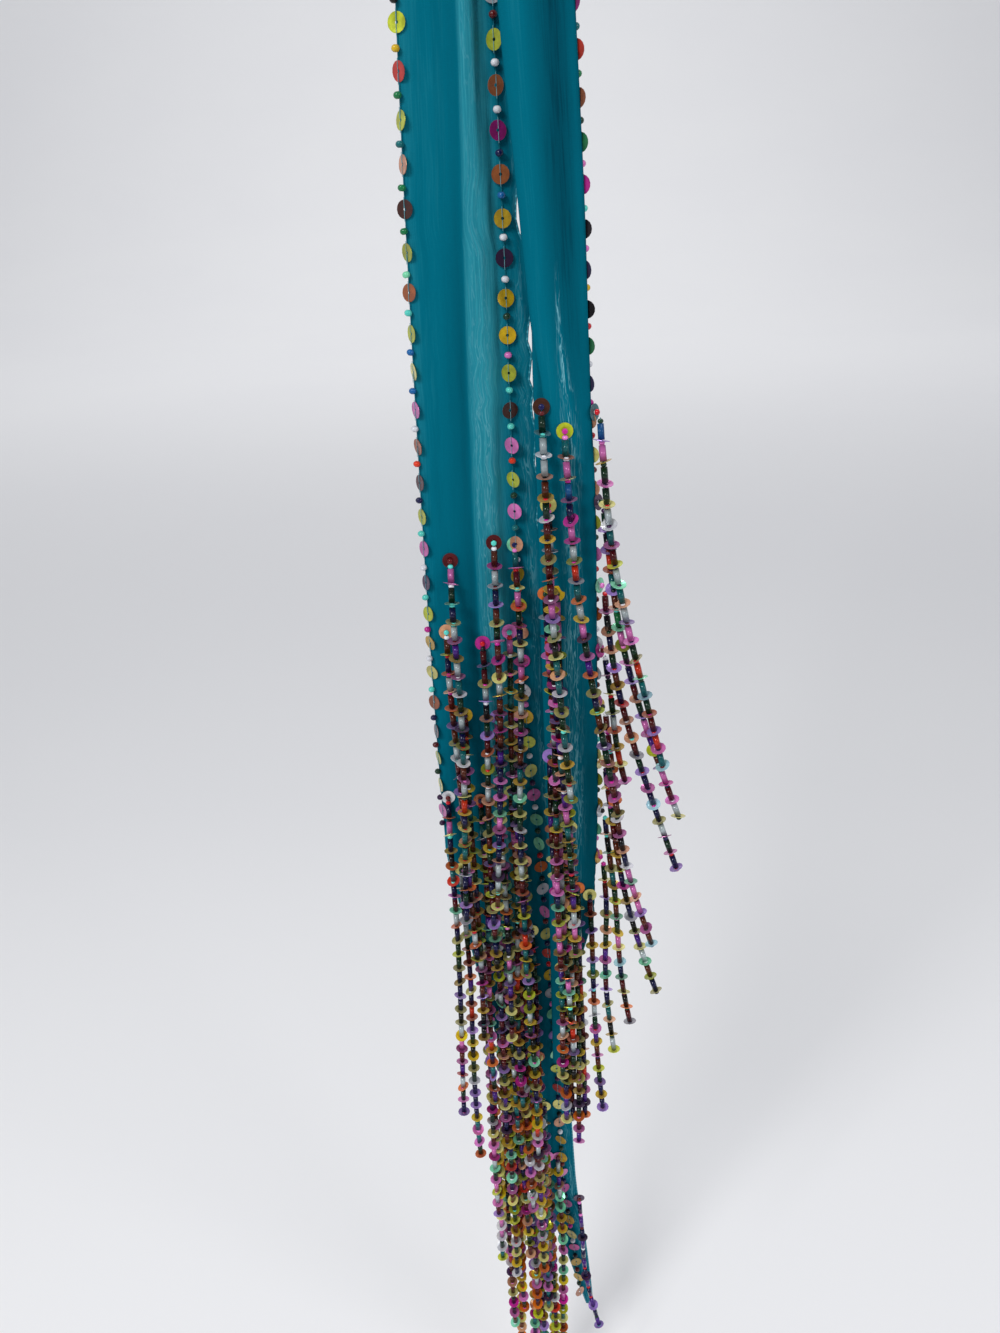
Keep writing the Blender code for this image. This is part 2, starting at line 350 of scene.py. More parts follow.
def new_material(name: str) -> tuple[bpy.types.Material, Shader, bpy.types.Node]:
    """An empty material with a Principled shader.

    Args:
        name: the material's name.

    Returns:
        The material, its node tree and its shader node.
    """
    material = bpy.data.materials.new(name)
    material.use_nodes = True
    shader = Shader(material.node_tree)
    return material, shader, material.node_tree.nodes["Principled BSDF"]


def new_group(
    name: str, inputs: dict[str, str], outputs: dict[str, str]
) -> tuple[Shader, bpy.types.Node, bpy.types.Node]:
    """An empty node group for several materials to share.

    Args:
        name: the group's name.
        inputs: its inputs' names, each with its kind: Float, Vector or Color.
        outputs: its outputs' names and kinds.

    Returns:
        Its node tree, its input node and its output node.
    """
    tree = bpy.data.node_groups.new(name, "ShaderNodeTree")
    for way, sockets in (("INPUT", inputs), ("OUTPUT", outputs)):
        for label, kind in sockets.items():
            tree.interface.new_socket(label, in_out=way, socket_type=f"NodeSocket{kind}")
    shader = Shader(tree)
    return shader, shader.add("NodeGroupInput"), shader.add("NodeGroupOutput")


@cache
def thread_group() -> bpy.types.NodeTree:
    """Fine crosswise and lengthwise threads, with slubs, as a shared node group.

    Returns:
        The group. Its inputs are Place (the cloth's own UV, in metres) and Spacing (threads
        in a metre); its outputs are Height and Slub, both from 0 to 1.
    """
    shader, given, result = new_group(
        "chiffon threads",
        {"Place": "Vector", "Spacing": "Float"},
        {"Height": "Float", "Slub": "Float"},
    )
    place = given.outputs["Place"]
    parts = shader.add("ShaderNodeSeparateXYZ")
    shader.join(place, parts.inputs[0])
    turns = shader.maths("MULTIPLY", given.outputs["Spacing"], 2 * math.pi)
    warp = shader.maths("SINE", shader.maths("MULTIPLY", parts.outputs[0], turns))
    weft = shader.maths("SINE", shader.maths("MULTIPLY", parts.outputs[1], turns))
    woven = shader.maths("MULTIPLY_ADD", shader.maths("ADD", warp, weft), 0.25, 0.5)
    streak = shader.cloudy(shader.stretched(place, (1800.0, 46.0, 1.0)), detail=3.0)
    shader.join(woven, result.inputs["Height"])
    shader.join(shader.ramped(streak, 0.42, 0.72), result.inputs["Slub"])
    return shader.tree


@cache
def crackle_group() -> bpy.types.NodeTree:
    """Fine, broken, wavering lines down the cloth, as a shared node group.

    Returns:
        The group. Its input is Place (the cloth's own UV, in metres); its output is Line.
    """
    shader, given, result = new_group("crackle lines", {"Place": "Vector"}, {"Line": "Float"})
    lines = []
    for across, down, width in ((520.0, 52.0, 0.032), (1000.0, 95.0, 0.045)):
        place = shader.stretched(given.outputs["Place"], (across, down, 1.0))
        ripple = shader.cloudy(place, distortion=0.6)
        off = shader.maths("ABSOLUTE", shader.maths("SUBTRACT", ripple, 0.5))
        near = shader.maths("SUBTRACT", 1.0, shader.ramped(off, width * 0.2, width))
        gaps = shader.ramped(shader.cloudy(place, 0.55), 0.34, 0.6)
        lines.append(shader.maths("MULTIPLY", near, gaps))
    shader.join(shader.maths("MAXIMUM", *lines), result.inputs["Line"])
    return shader.tree


@dataclass(frozen=True)
class Chiffon:
    """The sheer cloth: teal, lightened by painted highlight and deepened by painted shade, with
    fine lengthwise crinkle.
    """

    # `deep` is the colour of painted shade, and `pale` the colour of painted highlight
    deep: str = "003A4A"
    body: str = "006276"
    pale: str = "2F8D9C"
    crackle: str = "74B2BE"
    roughness: float = 0.75
    specular: float = 0.02
    threads_a_metre: float = 2300.0
    crackle_height: float = 1.5
    bump: float = 0.35
    bump_height: float = 0.00012

    def material(self) -> bpy.types.Material:
        """The cloth's material, which reads its UV and its `pale` and `crackle` attributes.

        Above nought `pale` is painted highlight, which lightens the cloth, and below nought it is
        painted shade, which makes the cloth deeper.

        Returns:
            The material.
        """
        made, shader, main = new_material("teal chiffon")
        place = shader.add("ShaderNodeUVMap", uv_map="cloth").outputs[0]
        threads = shader.group(thread_group(), Place=place, Spacing=self.threads_a_metre)
        slub = threads.outputs["Slub"]
        # `pale` carries the painted light and shade
        lift = shader.attribute("pale")
        cloud = shader.cloudy(shader.stretched(place, (130.0, 14.0, 1.0)), detail=4.0)
        # a random mottle, lighter and darker from place to place
        shade = shader.maths("MULTIPLY_ADD", cloud, 0.5, -0.25)
        speck = shader.maths("MULTIPLY", shader.maths("MULTIPLY_ADD", lift, 0.55, 0.12), slub)
        value = shader.maths("ADD", shader.maths("ADD", lift, shade), speck)
        # painted highlight above nought and painted shade below it, with the mottle and slubs mixed
        # in
        lighter = shader.maths("MINIMUM", shader.maths("MAXIMUM", value, 0.0), 1.0)
        painted_shade_and_mottle = shader.maths("MINIMUM", shader.maths("MULTIPLY", value, -1.0), 1.0)
        painted_shade_and_mottle = shader.maths("MAXIMUM", painted_shade_and_mottle, 0.0)
        ground = shader.blended(painted_shade_and_mottle, linear(self.body), linear(self.deep))
        colour = shader.blended(lighter, ground, linear(self.pale))
        lines = shader.group(crackle_group(), Place=place).outputs["Line"]
        lines = shader.maths("MULTIPLY", shader.attribute("crackle"), lines)
        colour = shader.blended(lines, colour, linear(self.crackle))
        shader.join(colour, main.inputs["Base Color"])
        main.inputs["Roughness"].default_value = self.roughness
        main.inputs["Specular IOR Level"].default_value = self.specular
        height = shader.maths("MULTIPLY_ADD", slub, 0.8, threads.outputs["Height"])
        raised = shader.maths("MULTIPLY", lines, self.crackle_height)
        shader.bumped(shader.maths("ADD", height, raised), main, self.bump, self.bump_height)
        return made


@dataclass(frozen=True)
class RolledHem:
    """The hem's tight roll: the same teal, a shade deeper, with its overcast stitches."""

    colour: str = "0A6F82"
    stitch: str = "3F9AAA"
    stitch_apart: float = 0.0021
    roughness: float = 0.7
    bump: float = 0.5
    bump_height: float = 0.0001

    def material(self) -> bpy.types.Material:
        """The hem's material, striped by its stitches along Z.

        Returns:
            The material.
        """
        made, shader, main = new_material("rolled hem")
        parts = shader.add("ShaderNodeSeparateXYZ")
        shader.join(shader.add("ShaderNodeTexCoord").outputs["Object"], parts.inputs[0])
        turns = shader.maths("MULTIPLY", parts.outputs[2], 2 * math.pi / self.stitch_apart)
        mask = shader.ramped(shader.maths("SINE", turns), 0.2, 0.9)
        colour = shader.blended(mask, linear(self.colour), linear(self.stitch))
        shader.join(colour, main.inputs["Base Color"])
        main.inputs["Roughness"].default_value = self.roughness
        shader.bumped(mask, main, self.bump, self.bump_height)
        return made


@cache
def shimmer_group() -> bpy.types.NodeTree:
    """A bead's own colour with a slight cloudy change, as a shared node group.

    Returns:
        The group. Its inputs are Tint, Place and Amount; its outputs are Colour and Cloud.
    """
    shader, given, result = new_group(
        "bead colour",
        {"Tint": "Color", "Place": "Vector", "Amount": "Float"},
        {"Colour": "Color", "Cloud": "Float"},
    )
    spread = shader.ramped(shader.cloudy(given.outputs["Place"], 420.0), 0.35, 0.68)
    amount = shader.maths("MULTIPLY", spread, given.outputs["Amount"])
    white = (0.9, 0.92, 0.9, 1.0)
    lighter = shader.blended(amount, given.outputs["Tint"], white, "OVERLAY")
    shader.join(lighter, result.inputs["Colour"])
    shader.join(spread, result.inputs["Cloud"])
    return shader.tree


@dataclass(frozen=True)
class BeadFinish:
    """What a bead is made of: its gloss and the painted sheen at its rim, which on the sequin film
    also stands for its iridescence.
    """

    name: str
    roughness: float
    specular: float
    metallic: float
    cloud: float
    shift: float
    rim_sheen_colour: str
    rim_width: float = 0.35

    def material(self) -> bpy.types.Material:
        """The finish's material, which reads each bead's `tint`.

        Returns:
            The material.
        """
        made, shader, main = new_material(self.name)
        place = shader.add("ShaderNodeTexCoord").outputs["Object"]
        tint = shader.attribute("tint", "Color")
        bead = shader.group(shimmer_group(), Tint=tint, Place=place, Amount=self.cloud)
        # painted rim sheen: the colour turns towards a pale one where the surface turns edge-on
        facing = shader.add("ShaderNodeLayerWeight")
        facing.inputs["Blend"].default_value = self.rim_width
        rim = shader.maths("MULTIPLY", facing.outputs["Facing"], self.shift)
        shown = shader.blended(rim, bead.outputs["Colour"], linear(self.rim_sheen_colour))
        shader.join(shown, main.inputs["Base Color"])
        rough = shader.maths("MULTIPLY_ADD", bead.outputs["Cloud"], 0.1, self.roughness)
        shader.join(rough, main.inputs["Roughness"])
        main.inputs["Specular IOR Level"].default_value = self.specular
        main.inputs["Metallic"].default_value = self.metallic
        return made


class Stuff(Enum):
    """What a small sewn-on thing is made of; the value is its material's place."""

    FILM = 0
    TUBE = 1
    SEED = 2
    THREAD = 3


@dataclass
class BeadBox:
    """The materials of everything strung or sewn on, built once and shared."""

    finishes: tuple[BeadFinish, ...] = (
        BeadFinish("sequin film", 0.14, 0.36, 0.3, 0.5, 0.2, "F0D8F0"),
        BeadFinish("lined glass tube", 0.06, 0.34, 0.1, 0.4, 0.04, "A8B0C8"),
        BeadFinish("seed bead glass", 0.08, 0.34, 0.0, 0.3, 0.05, "E8E8F2"),
        BeadFinish("sewing thread", 0.7, 0.05, 0.0, 0.05, 0.0, "D9E2E4"),
    )
    made: list[bpy.types.Material] = field(default_factory=list)

    def materials(self) -> list[bpy.types.Material]:
        """The four materials, in the order of Stuff.

        Returns:
            The materials.
        """
        if not self.made:
            self.made = [finish.material() for finish in self.finishes]
        return self.made


class Tone(Enum):
    """The colours in the bead box."""

    MUSTARD = "D8B010"
    LIME = "BAC41C"
    PALE_YELLOW = "E2DB7A"
    ORANGE = "E8700C"
    RED_ORANGE = "D8330C"
    PEACH = "E0A078"
    PINK = "DC74BC"
    MAGENTA = "BC1C8C"
    LILAC = "A884D8"
    PEARL = "DADCE4"
    MINT = "7CDCAC"
    COPPER = "A85C28"
    BROWN = "44200E"
    PLUM = "300C3C"
    RED = "B80818"
    MAROON = "560608"
    AMBER = "5C2408"
    BOTTLE = "023018"
    NAVY = "080C44"
    BLUE = "0C60A0"
    TEAL = "04686C"
    AQUA = "54CCBE"
    PALE_THREAD = "6A9CA4"
    GREEN = "0C7440"
    GREY = "BCC8CC"
    BLACK = "060608"
    VIOLET = "4C1C88"
    ICE = "A8E0F0"
    BARE = "000000"
    THREAD = "1C6878"


def tones(names: str) -> tuple[Tone, ...]:
    """The tones with these names, in order."""
    return tuple(Tone[name] for name in names.split())


def pairs(names: str) -> tuple[tuple[Tone, ...], ...]:
    """A tube's tone and its sequin's for each part of a strand, parted by commas."""
    return tuple(tones(pair) for pair in names.split(","))


# How often each tone turns up among the things that are not charted
SEQUIN_MIX = {
    Tone.MUSTARD: 24, Tone.LIME: 12, Tone.PALE_YELLOW: 18, Tone.ORANGE: 12, Tone.PEACH: 8,
    Tone.PINK: 16, Tone.MAGENTA: 5, Tone.LILAC: 8, Tone.PEARL: 8, Tone.MINT: 8, Tone.COPPER: 3,
    Tone.PLUM: 3, Tone.RED_ORANGE: 2,
}
SHINING_MIX = {
    Tone.MINT: 16, Tone.LILAC: 16, Tone.PEARL: 18, Tone.PINK: 12, Tone.LIME: 8, Tone.ICE: 16,
    Tone.PEACH: 6, Tone.PALE_YELLOW: 10,
}
TUBE_MIX = {
    Tone.MAROON: 16, Tone.AMBER: 9, Tone.BOTTLE: 20, Tone.NAVY: 16, Tone.TEAL: 6, Tone.PINK: 6,
    Tone.GREY: 8, Tone.BLACK: 9, Tone.RED_ORANGE: 2, Tone.VIOLET: 4,
}
SEED_MIX = {
    Tone.PEARL: 8, Tone.PINK: 4, Tone.RED: 7, Tone.MAGENTA: 4, Tone.BOTTLE: 10, Tone.AQUA: 4,
    Tone.NAVY: 12, Tone.PLUM: 8, Tone.MAROON: 12, Tone.BLACK: 6,
}


def drawn(chance: random.Random, choices: dict[Tone, int]) -> Tone:
    """One tone, drawn by weight."""
    return chance.choices(list(choices), list(choices.values()))[0]


# The cloth's form, from the same sizes as its solids


# The solids' wall, the margin turned in at a long edge, and how far apart a pleat's layers lie
WALL = 1.0
MARGIN = 5.5
LAYER = 1.7
# The fold at the hold: its radius, how far down its ends reach, half its gathered width, and
# its gathers: how many, how far out their middle stands, and how far they rise and fall
HOLD_RADIUS = 10.0
HOLD_DOWN = 24.0
HOLD_HALF = 13.5
GATHERS = 3.0
GATHER_MIDDLE = 2.4
GATHER_HIGH = 1.45
# Each tail's slanted end: where it starts and ends, and the share of the width left there
LONG_CORNER = 541.0
LONG_TIP = 887.0
LONG_KEPT = 0.06
SHORT_CORNER = 592.0
SHORT_TIP = 700.0
SHORT_KEPT = 0.34
# The shells' thickness
SHELL = 0.42


@dataclass(frozen=True)
class LongRow:
    """One level of the long tail, as its solid has it.

    The hems are at `left` and `hem`, and the right edging's stitch line is at `trim`. From
    `ridge_l` to `ridge_r` the cloth stands forward by `ridge`. `back` is its place along Y.
    """

    down: float
    left: float
    ridge_l: float
    ridge_r: float
    ridge: float
    trim: float
    hem: float
    back: float


LONG = (
    LongRow(24, -14.0, -5.5, 1.0, 2.6, 9.0, 14.0, 14.0),
    LongRow(80, -15.5, -6.0, 0.2, 3.2, 7.5, 12.8, 11.0),
    LongRow(150, -19.5, -7.5, -1.0, 3.8, 4.5, 10.2, 7.0),
    LongRow(220, -23.3, -8.5, -2.6, 4.2, 2.5, 8.2, 4.5),
    LongRow(293, -26.6, -9.5, -3.5, 4.2, 1.3, 6.9, 2.5),
    LongRow(360, -28.7, -11.2, -2.4, 4.0, 2.0, 7.7, 1.5),
    LongRow(446, -30.4, -12.0, -2.9, 3.4, 2.4, 8.9, 1.0),
    LongRow(533, -31.2, -12.3, -3.0, 2.4, 4.4, 10.6, 0.5),
    LongRow(580, -31.0, -11.5, -1.5, 2.0, 7.3, 13.2, 0.0),
    LongRow(640, -31.0, -10.0, 0.5, 1.8, 10.0, 16.0, 0.0),
    LongRow(710, -30.0, -8.5, 3.0, 1.6, 12.6, 17.4, 0.0),
    LongRow(789, -28.5, -5.0, 8.0, 1.4, 15.0, 20.0, 0.0),
    LongRow(843, -25.0, 0.5, 13.5, 1.2, 20.0, 25.3, 0.0),
    LongRow(887, -21.0, 4.0, 17.0, 1.0, 23.4, 28.6, 0.0),
)


# Pairs: a depth, and how far right of its line the long tail's hem lies there
HEM_WAVES = (
    (250, 0.0), (262, 0.5), (300, 0.9), (337, 0.6), (342, -1.0), (346, -1.7), (350, -1.9),
    (354, -1.2), (358, 1.4), (380, 1.6), (383, 0.6), (388, 0.2), (391, 1.7), (393, 1.9),
    (396, 0.4), (400, 0.4), (402, 1.6), (404, 2.0), (407, 0.7), (410, 0.7), (414, 1.8),
    (420, 1.8), (426, 0.7), (431, 1.8), (441, 1.9), (447, 0.9), (452, 1.9), (470, 2.0),
    (481, 1.3), (500, 2.0), (520, 1.4), (560, 0.8),
)


@dataclass(frozen=True)
class ShortRow:
    """One level of the short tail, as its solid has it.

    The hidden layer lies from `under_l` to `under_r`, and the front one from `fold` to
    `right`. `front` is the front layer's place along Y.
    """

    down: float
    under_l: float
    under_r: float
    fold: float
    right: float
    front: float


SHORT = (
    ShortRow(24, -13.0, 3.4, -6.5, 13.5, -16.0),
    ShortRow(80, -11.0, 4.8, -5.6, 14.8, -14.5),
    ShortRow(150, -5.5, 8.0, -4.0, 17.6, -12.6),
    ShortRow(220, 1.5, 11.5, -1.5, 20.8, -11.7),
    ShortRow(295, 7.0, 14.8, 2.2, 23.9, -11.5),
    ShortRow(350, 8.8, 17.4, 6.4, 26.4, -11.5),
    ShortRow(382, 9.3, 19.0, 9.2, 27.4, -11.5),
    ShortRow(403, 9.4, 20.3, 12.4, 28.0, -11.5),
    ShortRow(437, 9.8, 21.8, 14.0, 29.5, -11.5),
    ShortRow(490, 9.9, 22.6, 14.3, 30.2, -11.5),
    ShortRow(556, 10.3, 22.8, 14.5, 30.6, -11.5),
    ShortRow(602, 10.5, 22.0, 14.5, 29.4, -11.5),
    ShortRow(650, 10.5, 21.0, 14.5, 28.6, -11.5),
    ShortRow(700, 10.5, 20.4, 14.5, 28.0, -11.5),
)


def gather_out(share: Numbers) -> Numbers:
    """How far the fold's gathers stand out of the hold at shares from -1 to 1 across it."""
    return GATHER_MIDDLE + GATHER_HIGH * np.cos(math.pi * GATHERS * share)


def new_cloth(columns: int, rows: int) -> bmesh.types.BMesh:
    """A grid one unit across, with the layers that the cloth's material reads.

    Args:
        columns: how many faces it has across.
        rows: how many it has down.

    Returns:
        The grid.
    """
    bm = bmesh.new()
    bm.loops.layers.uv.new("cloth")
    # `pale` holds painted light and shade, and `crackle` the strength of the crackle lines
    bm.verts.layers.float.new("pale")
    bm.verts.layers.float.new("crackle")
    bmesh.ops.create_grid(bm, x_segments=columns, y_segments=rows, size=0.5)
    return bm


def new_piece(
    name: str, bm: bmesh.types.BMesh, looks: Iterable[bpy.types.Material]
) -> bpy.types.Object:
    """A finished mesh as a piece that rides on the scarf.

    Args:
        name: the piece's name.
        bm: its mesh, in metres and in place; it is freed.
        looks: its materials, in order.

    Returns:
        The piece's object.
    """
    mesh = bpy.data.meshes.new(name)
    bm.to_mesh(mesh)
    bm.free()
    for look in looks:
        mesh.materials.append(look)
    piece = bpy.data.objects.new(name, mesh)
    bpy.context.scene.collection.objects.link(piece)
    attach(piece, BODY)
    return piece


def new_shell(
    name: str,
    bm: bmesh.types.BMesh,
    flat: dict[bmesh.types.BMVert, Point2],
    look: bpy.types.Material,
    node: str,
) -> bpy.types.Object:
    """A shaped grid of cloth as a finished piece, which stands for a solid.

    Args:
        name: the piece's name.
        bm: its grid, in metres and in place; it is freed.
        flat: where each point lies on the flat cloth, in metres.
        look: the cloth's material.
        node: the solid.

    Returns:
        The piece.
    """
    uv = bm.loops.layers.uv["cloth"]
    for face in bm.faces:
        face.smooth = True
        for loop in face.loops:
            loop[uv].uv = flat[loop.vert]
    bmesh.ops.recalc_face_normals(bm, faces=bm.faces)
    piece = new_piece(name, bm, [look])
    shell = piece.modifiers.new("cloth's thickness", "SOLIDIFY")
    shell.thickness = SHELL * MM
    shell.offset = 0.0
    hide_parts(node)
    return piece


@dataclass(frozen=True)
class Crease:
    """A soft trough or ridge down the cloth.

    Places across are shares of the cloth's width, from its left hem. A positive depth
    stands towards the front.
    """

    down_from: float
    down_to: float
    across_from: float
    across_to: float
    width: float
    depth: float

    def lift(self, down: float, shares: np.ndarray) -> np.ndarray:
        """How far the crease moves the cloth at a level.

        Args:
            down: the level's depth.
            shares: places across the cloth.

        Returns:
            The distance at each place, in millimetres.
        """
        share = (down - self.down_from) / (self.down_to - self.down_from)
        if not 0.0 < share < 1.0:
            return np.zeros_like(shares)
        centre = mix(self.across_from, self.across_to, share)
        centre += 0.012 * math.sin(down / 23.0 + self.width * 40) + 0.006 * math.sin(down / 9.0)
        strength = self.depth * eased(share * 5) * eased((1 - share) * 5)
        strength *= 0.75 + 0.25 * math.sin(down / 17.0 + self.across_from * 30)
        return strength * bell(shares, centre, self.width)


@dataclass
class Tail:
    """A hanging tail: a thin shell on the form of its solid, with creases and crinkle."""

    name: str = ""
    node: str = ""
    top: float = HOLD_DOWN - 0.8
    corner: float = 0.0
    tip: float = 0.0
    columns: int = 84
    row_step: float = 3.0
    crinkle: float = 0.07
    swell: float = 0.28
    flutter_reach: float = 0.035
    side: float = 1.0
    gathered_to: float = 70.0
    seed: float = 0.0
    creases: tuple[Crease, ...] = ()
    flat: tuple[float, float] = (0.0, 0.0)
    area: float = 0.0

    def section(self, down: float) -> list[Point2]:
        """The cloth's corners at a depth, from its left hem to its right one."""
        raise NotImplementedError

    def stretch(self, down: float) -> tuple[float, float]:
        """The shares of the width at which the cloth begins and ends at a depth."""
        raise NotImplementedError

    def pale(self, down: float, points: np.ndarray) -> np.ndarray:
        """The painted light and shade at each point of a level, from -1 to 1: paler where painted
        highlight, deeper where painted shade.
        """
        raise NotImplementedError

    def crackle(self, down: float, points: np.ndarray) -> np.ndarray:
        """How strongly fine crackle lines show at each point of a level, from 0 to 1."""
        raise NotImplementedError

    def gone(self, down: float) -> float:
        """How far down the slanted end a depth lies, from 0 to 1."""
        return min(max((down - self.corner) / (self.tip - self.corner), 0.0), 1.0)

    def wander(self, down: float, shares: np.ndarray) -> np.ndarray:
        """Creases, crinkle and the hems' flutter at a level, in millimetres.

        Args:
            down: the level's depth.
            shares: places across the cloth.

        Returns:
            How far each point moves off the section, towards the front.
        """
        move = np.zeros_like(shares)
        for crease in self.creases:
            move += crease.lift(down, shares)
        for place, share in enumerate(shares):
            fine = noise.noise(Vector((share * 34.0, down / 70.0, self.seed)))
            finer = noise.noise(Vector((share * 80.0, down / 30.0, self.seed + 7.0)))
            broad = noise.noise(Vector((share * 7.0, down / 120.0, self.seed + 3.0)))
            move[place] += self.crinkle * (1.3 * fine + 0.6 * finer) + self.swell * broad
        hem = np.exp(-shares / self.flutter_reach) + np.exp(-(1 - shares) / self.flutter_reach)
        flutter = 0.45 * math.sin(down / 9.5 + self.seed) + 0.3 * math.sin(down / 4.1)
        return move + hem * flutter

    def drawn_in(self, down: float, x: Numbers, y: Numbers) -> Numbers:
        """Places along Y with the tail's top drawn into the gathers of the fold.

        Args:
            down: the depth.
            x: places along X, in millimetres.
            y: places along Y, in millimetres.

        Returns:
            The places along Y, which are as given below the gathered stretch.
        """
        near = 1 - eased((down - self.top) / (self.gathered_to - self.top))
        sections = [place for _, place in self.section(self.top)]
        middle = (min(sections) + max(sections)) / 2
        gathered = self.side * (HOLD_RADIUS + gather_out(x / HOLD_HALF)) + 0.3 * (y - middle)
        return mix(y, gathered, near)

    def level(self, down: float, shares: np.ndarray) -> tuple[np.ndarray, np.ndarray]:
        """The cloth's points across one level.

        Args:
            down: the level's depth.
            shares: places across what is left of the cloth there, from 0 to 1.

        Returns:
            The points, in millimetres, and their places across the flat cloth, as shares.
        """
        first, last = self.stretch(down)
        wanted = first + (last - first) * shares
        points, normals = along(rounded(self.section(down)), wanted)
        points = points + normals * self.wander(down, wanted)[:, None]
        points[:, 1] = self.drawn_in(down, points[:, 0], points[:, 1])
        return points, wanted

    def build(self, look: bpy.types.Material) -> bpy.types.Object:
        """The shell, as a finished piece.

        Args:
            look: the cloth's material.

        Returns:
            The piece, which stands for the tail's solid.
        """
        rows = int(round((self.tip - self.top) / self.row_step))
        bm = new_cloth(self.columns, rows)
        pale = bm.verts.layers.float["pale"]
        crackle = bm.verts.layers.float["crackle"]
        shares = np.linspace(0.0, 1.0, self.columns + 1)
        levels = []
        for step in range(rows + 1):
            down = mix(self.top, self.tip, step / rows)
            points, wanted = self.level(down, shares)
            # each level's painted light and shade, and its crackle lines
            shown = (self.pale(down, points), self.crackle(down, points))
            levels.append((down, points, wanted, *shown))
        flat = {}
        for vert in bm.verts:
            step = rows - int(round((vert.co.y + 0.5) * rows))
            column = int(round((vert.co.x + 0.5) * self.columns))
            down, points, wanted, light, lines = levels[step]
            vert.co = Vector((points[column][0], points[column][1], -down)) * MM
            vert[pale] = float(light[column])
            vert[crackle] = float(lines[column])
            flat[vert] = (float(wanted[column]) * self.flat[0], down * MM)
        return new_shell(self.name, bm, flat, look, self.node)


@dataclass
class LongTail(Tail):
    """The tail behind, whose slanted end shows."""

    name: str = "cloth_long"
    node: str = "tail_long"
    corner: float = LONG_CORNER
    tip: float = LONG_TIP
    seed: float = 2.0
    creases: tuple[Crease, ...] = (
        Crease(200, 640, 0.30, 0.28, 0.045, -0.35),
        Crease(300, 760, 0.22, 0.24, 0.035, 0.3),
        Crease(24, 420, 0.74, 0.70, 0.030, -0.35),
        Crease(60, 520, 0.80, 0.76, 0.030, 0.35),
        Crease(420, 860, 0.66, 0.72, 0.030, -0.5),
        Crease(560, 880, 0.84, 0.82, 0.024, 0.5),
        Crease(640, 700, 0.70, 0.71, 0.012, -1.3),
        Crease(40, 330, 0.17, 0.20, 0.050, -0.35),
    )
    flat: tuple[float, float] = (0.052, 0.863)
    area: float = 0.0355

    def section(self, down: float) -> list[Point2]:
        """The left margin turned behind, a raised pleat, and the free hem.

        Args:
            down: the depth.

        Returns:
            The cloth's corners there, from its left hem to its right one.
        """
        row = row_at(LONG, down)
        left, back = row.left, row.back
        return [
            (left + MARGIN, back + 3.4),
            (left + 1.4, back + 3.0),
            (left, back + 1.5),
            (left + 1.6, back),
            ((left + 1.6 + row.ridge_l) / 2, back - 0.3),
            (row.ridge_l - 1.6, back + 0.2),
            (row.ridge_l + 1.2, back - row.ridge * 0.9),
            ((row.ridge_l + row.ridge_r) / 2, back - row.ridge),
            (row.ridge_r - 1.2, back - row.ridge * 0.9),
            (row.ridge_r + 1.4, back + 0.2),
            (row.trim, back - 0.4),
            ((row.trim + row.hem) / 2, back - 0.2),
            (row.hem + self.hem_wave(down), back + 0.5 * math.sin(down / 13.0)),
        ]

    def hem_wave(self, down: float) -> float:
        """How far right the free hem waves at a depth, in millimetres."""
        return float(np.interp(down, *zip(*HEM_WAVES)))

    def stretch(self, down: float) -> tuple[float, float]:
        """The cloth begins further in down its slanted end."""
        return self.gone(down) * (1 - LONG_KEPT), 1.0

    def crackle(self, down: float, points: np.ndarray) -> np.ndarray:
        """The raised pleat is faintly crackled, more so lower down.

        Args:
            down: the level's depth.
            points: the level's points.

        Returns:
            The strength at each point, from 0 to 1.
        """
        row = row_at(LONG, down)
        x = points[:, 0]
        middle, half = (row.ridge_l + row.ridge_r) / 2, (row.ridge_r - row.ridge_l) / 2
        pleat = bell(x, middle + 0.4, half * 0.8, power=4)
        margin = bell(x, row.hem - 1.6, 1.5)
        return mix(0.14, 0.45, eased((down - 330) / 160)) * np.maximum(pleat, margin)

    def pale(self, down: float, points: np.ndarray) -> np.ndarray:
        """Painted highlight on the raised pleat and in a band before each hem, painted shade beside
        the pleat, a painted shadow of the short tail's fold edge, and darker lower down.

        Args:
            down: the level's depth.
            points: the level's points.

        Returns:
            How pale each point is, from -1 to 1.
        """
        row = row_at(LONG, down)
        x = points[:, 0]
        # painted highlight along the raised pleat
        wobble = 0.5 * math.sin(down / 41.0)
        pleat = past(x, row.ridge_l + 0.3 + wobble, 0.22)
        pleat *= past(x, row.ridge_r + 1.9 + wobble * 0.5, -0.8)
        pleat *= 0.72 + 0.34 * np.clip((x - row.ridge_l) / (row.ridge_r - row.ridge_l), 0, 1)
        pleat *= mix(0.62, 0.36, eased((down - 470) / 160))
        # painted highlight in a band before each hem
        hem_highlights = 0.14 * bell(x, row.hem - 1.6, 1.6) + 0.12 * bell(x, row.left + 2.0, 1.6)
        # painted shade beside the pleat's left edge, broader lower down
        beside = -0.22 * bell(x, row.ridge_l - 1.6, 1.8)
        beside -= 0.22 * eased((down - 300) / 130) * bell(x, row.ridge_l - 4, 5.5)
        # darker lower down
        lower = -0.16 * eased((down - 420) / 120)
        # painted shadow cast by the short tail's fold edge, down to about 400 mm
        fold_shadow_line = row_at(SHORT, down).fold * 1.05 - 0.9
        fold_shadow = -0.5 * bell(x, fold_shadow_line, 0.9) * (1 - eased((down - 400) / 30))
        return np.clip(pleat + hem_highlights + beside + lower + fold_shadow, -1.0, 1.0)


